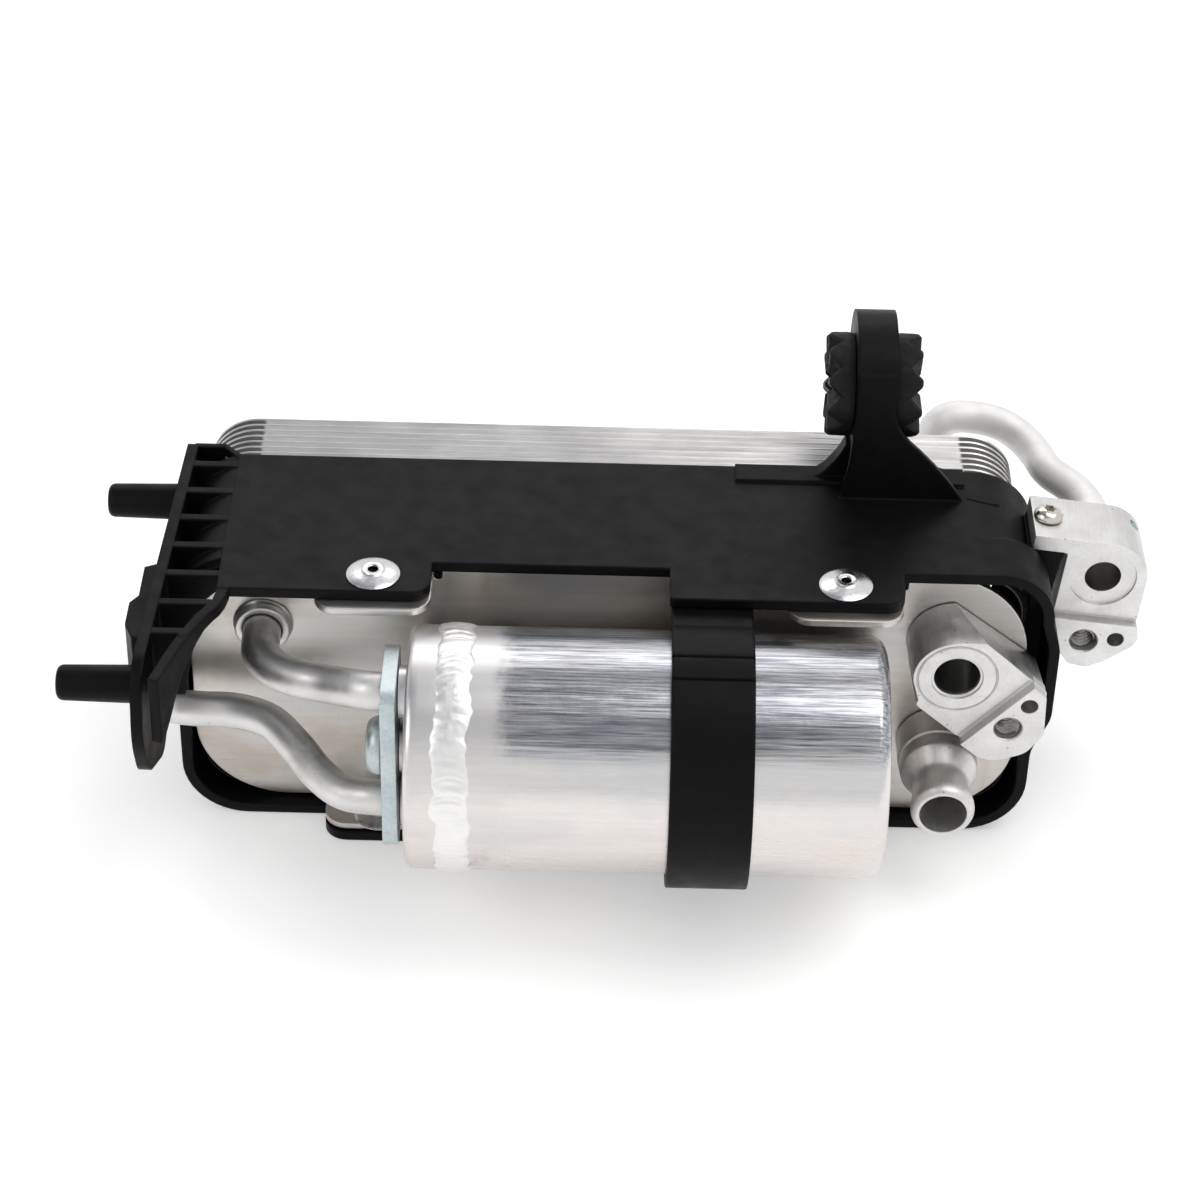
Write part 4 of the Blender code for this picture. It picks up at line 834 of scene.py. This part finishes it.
def moulding_lines():
    """Parting lines that the mould's inserts leave in the band's top right corner."""
    def top(x):
        return BAND_TOP if x < 95.4 else BAND_TOP - BAND_CORNER + sqrt(BAND_CORNER ** 2 - (x - 95.4) ** 2)

    bm = bmesh.new()
    paths = [[(93.2, 29.8), (96.3, 28.4), (100.5, 27.9), (105, 28.3), (108.7, 30.3), (110.5, 31.7)],
             [(100.1, 28.3), (103.6, 29.5), (106.8, 32.2), (107.9, 37.3), (107.9, 40.5)]]
    for path in paths:
        for start, end in zip(map(Vector, path), map(Vector, path[1:])):
            way = (end - start).normalized() * 0.26
            across = Vector((-way.y, way.x))
            steps = max(1, round(abs(end.x - start.x) / 0.6))
            stops = [start.lerp(end, k / steps) for k in range(steps + 1)]
            for a, b in zip(stops, stops[1:]):
                corners = (a + across, a - across, b - across, b + across)
                bm.faces.new([bm.verts.new((x, y, top(x) + 0.06)) for x, y in corners])
    piece("moulding_lines", bm, GROOVE, ())


def rubber_bush():
    """A bush with deep zig-zag ends, as moulded."""
    half = 12.1
    groove = RING_WIDTH / 2 + 0.3
    steps = 140
    left = [(5, -half, 0.4), (9, -half, 0.8), (13, -half, 1), (13.6, -half + 0.7, 1), (13.6, -groove - 1.6, 0),
            (13.3, -groove, 0), (10.9, -groove, 0)]
    rings = []
    for radius, height, toothed in left + [(r, -h, t) for r, h, t in reversed(left)]:
        ring = []
        for k in range(steps):
            angle = tau * k / steps
            tooth = abs((k / steps * 10 % 1) * 2 - 1)
            notch = 3.2 * max(0, tooth - 0.22) / 0.78 * toothed
            pinch = radius - 0.5 * toothed * max(0, tooth - 0.5)
            ring.append((pinch * cos(angle), pinch * sin(angle), height - copysign(notch, height)))
        rings.append(ring)
    bush = moved(skin(rings, looped=True), along((1, 0, 0), RING))
    piece("bush_ridged", bush, RUBBER, ["rubber_bush"], 20)


# Bottle, strap, flange plate and bolt

def drier_bottle():
    profile = [(0, 0), (27, 0), (29.4, 0), (30.2, 0.35), (30.7, 1), (BOTTLE_RADIUS, 1.9), (30.9, 3.5),
               (30.9, 8), (30.85, 16), (30.9, 30), (30.9, 60), (30.9, 90), (30.9, 112)]
    reach = BOTTLE_RIGHT - BOTTLE_LEFT
    profile += arc((BOTTLE_RADIUS - 4.2, reach - 4.2), 4.2, 11.25, 90, 7)
    profile += [(24.5, reach - 0.5), (22, reach - 1.2), (0, reach - 1.2)]
    whole = lathe(profile, (1, 0, 0), (BOTTLE_LEFT, *BOTTLE_AXIS), 160)
    # Bosses for the two tubes and the bolt
    for z in (32.5, 50, 67.5):
        boss = rod((FLANGE_RIGHT + 0.3, BOTTLE_AXIS[0], z), (BOTTLE_LEFT + 2, BOTTLE_AXIS[0], z), 6.8)
        whole.from_mesh(mesh_of(boss, "boss"))
    piece("bottle_shell", whole, BOTTLE, ["drier_bottle"], 30)


def weld_bead():
    """The rippled bead between the bottle and its end cap."""
    around, across = 640, 24
    rings = []
    for i in range(across + 1):
        share = i / across
        ring = []
        for k in range(around):
            angle = tau * k / around
            place = Vector((cos(angle) * 5, sin(angle) * 5, 3))
            drift = 1.3 * noise.noise(place * 0.9) + 0.6 * noise.noise(place * 2.7)
            half = 4.6 + 0.6 * noise.noise(place * 1.3 + Vector((7, 0, 0)))
            along_x = -37.9 + drift + half * (2 * share - 1)
            dome = max(0, 1 - (2 * share - 1) ** 2) ** 0.5
            # Each ripple is a crescent that trails the torch
            ripple = sin(angle * 104 + 7.5 * (1 - (2 * share - 1) ** 2) + 5.0 * noise.noise(place * 2))
            deep = max(0, 0.45 + 0.9 * noise.noise(place * 1.7 + Vector((0, 4, 0))))
            rough = noise.noise(Vector((along_x * 0.6, angle * 14, 2)))
            height = 0.05 + dome * (0.62 + 0.07 * deep * ripple + 0.18 * noise.noise(place * 3.1) + 0.07 * rough)
            radius = BOTTLE_RADIUS - 0.25 + height + 0.22 * dome
            ring.append((along_x, BOTTLE_AXIS[0] + radius * cos(angle), BOTTLE_AXIS[1] + radius * sin(angle)))
        rings.append(ring)
    piece("bottle_weld", skin(rings), WELD, (), 60)


def strap():
    y, z = BOTTLE_AXIS
    inner, outer = BOTTLE_RADIUS + 0.3, BOTTLE_RADIUS + 3.4
    top_angle = degrees(asin((TAB_HIGH - z) / outer))
    inner_top = degrees(asin((TAB_HIGH - STRAP_WALL - z) / inner))
    foot, low_top = BAND_FRONT + 1.2, TAB_LOW + STRAP_WALL
    loop = [(foot, TAB_HIGH)] + arc(BOTTLE_AXIS, outer, top_angle, 270, 72)
    loop += [(y + 4, z - outer), (LOW_SHELF_FRONT + 1, TAB_LOW), (foot, TAB_LOW), (foot, low_top),
             (LOW_SHELF_FRONT + 3, low_top)]
    loop += arc(BOTTLE_AXIS, inner, 288, inner_top, 72) + [(foot, TAB_HIGH - STRAP_WALL)]
    # Fine grooves across the band, where it bends most when it is fitted
    cuts = []
    for angle in (96, 108):
        turn = Matrix.Translation((0, y, z)) @ Matrix.Rotation(radians(angle), 4, "X")
        cuts.append(moved(block((10, outer - 0.25, -0.18), (45, outer + 3, 0.18)), turn))
    band = combine(prism(loop, "X", *STRAP_SIDES), cuts, "DIFFERENCE")
    piece("strap_moulding", soften(band, 0.45, 2, 40), PLASTIC, ["bottle_strap"])


def flange_plate():
    y, z = BOTTLE_AXIS
    plate = prism(rectangle((y - 12.25, z - 25), (y + 12.25, z + 25), 4, 3), "X", FLANGE_LEFT, FLANGE_RIGHT)
    holes = [rod((FLANGE_LEFT - 5, y, h), (FLANGE_RIGHT + 5, y, h), r)
             for h, r in ((67.5, 5.3), (32.5, 5), (50, 3.3))]
    plate = combine(plate, holes, "DIFFERENCE")
    piece("zinc_flange", soften(plate, 0.4), ZINC, ["flange_plate"])


def flange_bolt():
    head = [(0, 4.3), (3.9, 4.3), (5.4, 4), (6.5, 3.4), (7.2, 2.4), (7.5, 1.3), (7.4, 0.4), (7, 0.05),
            (3, 0.05), (3, -14), (0, -14)]
    bolt = lathe(head, (-1, 0, 0), (FLANGE_LEFT - 0.3, *BOTTLE_AXIS))
    socket = prism(arc(BOTTLE_AXIS, 2.9, 0, 300, 5), "X", FLANGE_LEFT - 10, FLANGE_LEFT - 2.4)
    bolt = combine(bolt, [socket], "DIFFERENCE")
    piece("zinc_bolt", bolt, ZINC, ["flange_bolt"], 30)


# Tubes and collars

def tubes():
    y = BOTTLE_AXIS[0]
    gas = [(-89.5, 1, 61.8), (-89.5, -7, 61.8), (-88.8, -13, 61.8), (-85, -18.8, 61.8), (-78, -23.2, 62.3),
           (-70.5, -26.8, 63.6), (-64, -31.2, 66), (FLANGE_LEFT - 3, y, 67.5), (FLANGE_RIGHT - 0.3, y, 67.5)]
    outside = -BAND_HALF - 4.7 - 0.8
    back = [(FLANGE_RIGHT - 0.3, y, 32.5), (FLANGE_LEFT - 3, y, 32.5), (-67.3, -31.2, 31.6), (-74, -25.8, 33),
            (-80, -19.6, 36.4), (-87.5, -13.2, 39.6), (-97.5, -10.2, 40.5), (-106, -10.6, 41.1),
            (outside + 5.2, -9.9, 41.5), (outside + 1.2, -6.2, 41.7), (outside, 0, 41.7), (outside, 18, 41.6),
            (outside, 38, 42.5), (outside, 56, 46.2), (-116, 66.5, 51), (-110, 74.2, 56.2), (-101, 78.5, 60),
            (-93, 77, 61.8), (-89.5, 71.5, 61.8), (-89.5, BACK_FACE - 0.8, 61.8)]
    liquid = [(89.5, BACK_FACE - 0.8, 61.8), (89.5, 72.2, 61.8), (88.8, 76.5, 64.8), (88.6, 79.2, 70),
              (90, 80.6, 74), (94, 81.8, 75.8), (100, 82, 75.7), (107, 80, 75.2), (112.3, 76, 73.9),
              (116, 70, 72.8), (118.9, 62, 72.4), (125.2, 54.5, 71.8), (128.4, 47, 71.6), (129, 40, 71.5),
              (129, LIQUID_BACK - 3, 71.5)]
    for node_name, route, radius, wander, look in (
            ("gas_tube", gas, 4.95, 0.12, TUBE), ("return_tube", back, 4.65, 0.12, TUBE),
            ("liquid_tube", liquid, 4.55, 0.1, PALE_TUBE)):
        piece(node_name + "_bent", swept(route, radius, wander), look, [node_name], 60)


def collar(name, x, face, way, inner):
    inner += 0.3
    outer = inner + 1.9
    profile = [(inner, 0.3), (outer + 0.6, 0.3), (outer + 0.35, 0.55), (outer + 0.05, 0.9), (outer, 1.4),
               (outer, 2.7), (outer - 0.2, 3.05), (outer - 0.6, 3.2), (inner + 0.4, 3.2), (inner, 2.9)]
    ring = lathe(profile, (0, way, 0), (x, face, PORT_HIGH[1]))
    piece(name + "_turned", ring, MACHINED, [name], 50)


# Blocks, nipples and fasteners

def thread(name, x, z, low, high, matrix):
    """A threaded sleeve that lines a tapped hole, coloured dark grey as painted shade inside the hole."""
    steps, pitch, radius = 48, 1.25, 3.62
    rings = []
    for i in range(int((high - low) / pitch) * 6 + 1):
        inner = radius - 0.8 * abs((i / 6) % 1 * 2 - 1) ** 1.6
        ring = []
        for k in range(steps + 1):
            angle = tau * k / steps
            y = min(low + (i / 6 + k / steps) * pitch, high)
            ring.append((x + inner * cos(angle), y, z + inner * sin(angle)))
        rings.append(ring)
    piece(name, moved(skin(rings, seam=1), matrix), THREAD_SHADE, (), 20)


def tapped(x, z, lug, back, rim):
    """Cutters for a tapped hole and for the chamfer at its mouth."""
    return [bore(x, z, lug - 10, back, 3.5),
            lathe([(0, -0.4), (rim, -0.4), (3.5, 0.5), (0, 0.5)], (0, 1, 0), (x, lug, z), 48)]


def milled(name, body, cuts, matrix, look, angle, smooth):
    body = combine(moved(body, matrix), [moved(c, matrix) for c in cuts], "DIFFERENCE")
    piece(name + "_machined", soften(body, 0.22, 2, angle), look, [name], smooth)


def gas_block():
    face, lug = -16.3, -18.8
    end = [(24.5, -13, 8), (29.3, -3.5, 6), (28, 4, 4)]
    head = filleted([(-2, -13.4, 1.5), *end, (19.5, 12.7, 1.5), (-2.4, 13.1)]) + arc((0, 0), 11.3, 132, 228, 30)
    foot = filleted([(-3.9, -12.9, 1.5), *end, (19.8, 10.9, 1.5), (-8.4, 8.9)]) + arc((0, 0), 12.2, 137, 228, 30)
    shoulder = filleted([(14.9, -13.25), *end, (19.5, 12.7, 1.5), (14.9, 12.75)])
    body = combine(tapered(head, face, foot, -0.3), [prism(shoulder, "Y", lug, face + 3)], "UNION")
    x, z = 20, -1.2
    cuts = [block((13.7, face - 10, -30), (14.9, face + 0.55, 30)), bore(0, 0, face - 10, 10, 5.9),
            bore(0, 0, face - 10, face + 0.7, 6.6), *tapped(x, z, lug, lug + 13, 4.3),
            bore(18.5, 7.7, lug - 10, lug + 9, 2.2),
            lathe([(10, -1), (10.4, -1), (10.4, 0.22), (10, 0.22)], (0, 1, 0), (0, face, 0), 96)]
    milled("gas_block", body, cuts, GAS_FRAME, GAS_METAL, 20, 18)
    thread("gas_thread", x, z, lug + 0.7, lug + 12.8, GAS_FRAME)
    sleeve("gas_bore_shade_lining", bore(0, 0, face + 1.6, -0.4, 5.86, 64), GAS_FRAME)


def sleeve(name, bm, matrix):
    """The tool-marked wall of a bore, open at both ends, in a dark grey that paints the shade inside it."""
    bmesh.ops.delete(bm, geom=[v for v in bm.verts if len(v.link_edges) > 4], context="VERTS")
    piece(name, moved(bm, matrix), BORE_SHADE, ())


def liquid_block():
    r, front, back = LIQUID_ROUND, LIQUID_FRONT, LIQUID_BACK
    lug, step = front - 2.2, -13.0
    low = [(-7, -23.5), (-3.7, -27.4), (1.5, -27.9), (5.7, -25.4), (11.9, -19.6), (13, -16.8)]
    end = [(-10.6, step), *[(x, z, 2) for x, z in low], (11.9, step)]
    outline = filleted([(-WING_REACH, r), (-WING_REACH, r - 4.5), (0.3 - r, r - 4.5, 1), *end, (r, r, 10.8)], 10)
    body = combine(prism(outline, "Y", front, back), [prism(filleted(end, 10), "Y", lug, front + 3)], "UNION")
    x, z = -1.2, -19.4
    cuts = [block((-30, front - 10, step), (30, front + 0.55, step + 1.1)), bore(0, 0, front - 10, back - 5, 4.7),
            bore(0, 0, front - 10, front + 0.8, 8.7), bore(0, 0, back - 6, back + 10, 4.9),
            *tapped(x, z, lug, back + 10, 4.2), bore(7.1, -17.8, lug - 10, lug + 11, 2.2),
            rod((-16.3, 24, 0), (-16.3, 24, 20), 2.3)]
    milled("liquid_block", body, cuts, LIQUID_FRAME, LIQUID_METAL, 28, 30)
    thread("liquid_thread", x, z, lug + 0.7, back - 0.4, LIQUID_FRAME)
    sleeve("liquid_bore_shade_lining", bore(0, 0, front + 1.2, back - 5.2, 4.66, 64), LIQUID_FRAME)


def block_screw():
    matrix = LIQUID_FRAME @ Matrix.Translation((-16.3, 24, LIQUID_ROUND + 0.3))
    profile = [(0, 2.4), (1.6, 2.4), (2.5, 2.1), (3.2, 1.6), (3.65, 0.9), (3.8, 0.3), (3.8, 0.05), (2, 0),
               (2, -9), (0, -9)]
    head = lathe(profile, (0, 0, 1), (0, 0, 0))
    star = [(r * cos(tau * k / 12), r * sin(tau * k / 12)) for k, r in enumerate([1.75, 1.2] * 6)]
    head = combine(head, [prism(star, "Z", 0.9, 10)], "DIFFERENCE")
    piece("star_screw", moved(head, matrix), NICKEL, ["block_screw"], 30)


def nipple(end, x, face, way):
    profile = [(6.1, 0.3), (10.3, 0.3), (10.5, 0.5), (10.5, 8.9), (10.35, 9.3), (9.95, 9.6), (9.85, 10.1),
               (9.95, 10.5), (10.2, 10.7), (10.25, 12.2), (10.1, 13.8), (9.85, 14.4), (9.2, 15.4), (8.2, 17),
               (7.5, 18.3), (7.25, 19.2), (7.2, 20.2), (7.3, 21.5), (7.6, 23.5), (8.05, 26.3), (8.25, 27.6),
               (8.3, 28.7), (8.15, 29.6), (7.8, 30.3), (7.35, 30.8), (6.95, 31), (6.45, 31), (6.15, 30.8),
               (6.1, 30.4)]
    turned = lathe(profile, (0, way, 0), (x, face, PORT_LOW[1]), 96)
    piece(end + "_nipple_turned", turned, TURNED, [end + "_coolant_nipple"], 34)


def rivets():
    profile = [(0, 0.5), (1.2, 0.6), (1.35, 1.7), (1.7, 1.9), (2.6, 1.9), (2.9, 1.6), (3.2, 1.5), (4.6, 1.15),
               (5.9, 0.8), (6.6, 0.45), (6.8, 0.3), (6.75, 0.1), (2.4, 0.1), (2.4, -5), (0, -5)]
    for x, word in ((-RIVET[0], "left"), (RIVET[0], "right")):
        for name, base in ((f"top_rivet_{word}", BAND_TOP), (f"low_rivet_{word}", TAB_LOW + END_SHEET)):
            head = lathe(profile, (0, 0, 1), (x, RIVET[1], base))
            piece(name + "_head", head, RIVET_METAL, [name], 30)


def build():
    for make in (core_stack, front_plate, back_plate, bracket, moulding_lines, rubber_bush, drier_bottle, weld_bead,
                 strap, flange_plate, flange_bolt, tubes):
        make()
    collar("gas_collar", -PORT_HIGH[0], 0, -1, 5)
    collar("return_collar", -PORT_HIGH[0], BACK_FACE, 1, 4.7)
    collar("liquid_collar", PORT_HIGH[0], BACK_FACE, 1, 4.6)
    gas_block()
    liquid_block()
    block_screw()
    nipple("front", PORT_LOW[0], 0, -1)
    nipple("back", -PORT_LOW[0], BACK_FACE - 2, 1)
    rivets()


# Studio

def floor():
    bm = bmesh.new()
    bmesh.ops.create_grid(bm, x_segments=1, y_segments=1, size=4)
    made = placed("floor", mesh_of(bm, "floor"))
    made.location.z = -0.0004
    look = Look("floor_white", (0.94, 0.94, 0.94), 0.9, 0, 0)
    # Seen straight or in a reflection, the floor is lifted to white and keeps its shadow
    straight, glossy, through = (look.node("LightPath", output=f"Is {kind} Ray")
                                 for kind in ("Camera", "Glossy", "Transmission"))
    seen = look.maths("MAXIMUM", look.maths("MAXIMUM", straight, glossy), through)
    look.shader.inputs["Emission Color"].default_value = rgba(1)
    look.into("Emission Strength", look.times(seen, 0.36))
    made.data.materials.append(look.material)


def studio_world():
    world = bpy.data.worlds.new("studio")
    bpy.context.scene.world = world
    world.use_nodes = True
    tree = world.node_tree
    tree.nodes.clear()
    up = node(tree, "TexCoord", output="Generated")
    up = node(tree, "VectorMath", {0: up, 1: (-0.42, -0.12, 0.9)}, "Value", operation="DOT_PRODUCT")
    sky = tree.nodes.new("ShaderNodeValToRGB")
    sky.color_ramp.interpolation = "EASE"
    for element, place, value in zip(sky.color_ramp.elements, (0.55, 0.97), (1, (0.3, 0.31, 0.34))):
        element.position = place
        element.color = rgba(value)
    tree.links.new(up, sky.inputs["Fac"])
    lit = node(tree, "Background", {"Color": (0.97, 0.985, 1, 1), "Strength": 0.5})
    shine = node(tree, "Background", {"Color": sky.outputs["Color"], "Strength": 0.9})
    seen = node(tree, "Background", {"Color": (1, 1, 1, 1)})
    glossy, straight = (node(tree, "LightPath", output=f"Is {kind} Ray") for kind in ("Glossy", "Camera"))
    world_light = node(tree, "MixShader", {0: glossy, 1: lit, 2: shine})
    world_light = node(tree, "MixShader", {0: straight, 1: world_light, 2: seen})
    tree.links.new(world_light, tree.nodes.new("ShaderNodeOutputWorld").inputs[0])


def lamp(name, place, size, power, colour=(1, 1, 1)):
    """A softbox that faces the object."""
    data = bpy.data.lights.new(name, "AREA")
    data.shape = "RECTANGLE"
    data.size, data.size_y = size
    data.energy = power
    data.color = colour
    made = placed(name, data)
    made.location = place
    made.rotation_euler = (Vector((0, 0, 0.05)) - Vector(place)).to_track_quat("-Z", "Y").to_euler()


def camera():
    data = bpy.data.cameras.new("camera")
    data.sensor_width = 36
    data.lens = 99
    data.clip_start = 0.01
    made = placed("camera", data)
    turn = Matrix.Rotation(radians(52.5), 4, "X") @ Matrix.Rotation(radians(1.4), 4, "Z")
    made.matrix_world = Matrix.Translation((-0.0023, -0.6744, 0.5894)) @ turn
    bpy.context.scene.camera = made


def studio():
    floor()
    studio_world()
    lamp("key_softbox", (0.42, -0.05, 0.95), (0.55, 0.8), 3.4, (1, 0.99, 0.97))
    lamp("left_softbox", (-0.75, -0.45, 0.75), (0.5, 0.5), 2.2, (1, 0.99, 0.97))
    lamp("back_softbox", (-0.1, 0.75, 0.8), (0.8, 0.35), 1.6)
    camera()
    bpy.context.scene.view_settings.view_transform = "Standard"


build()
studio()
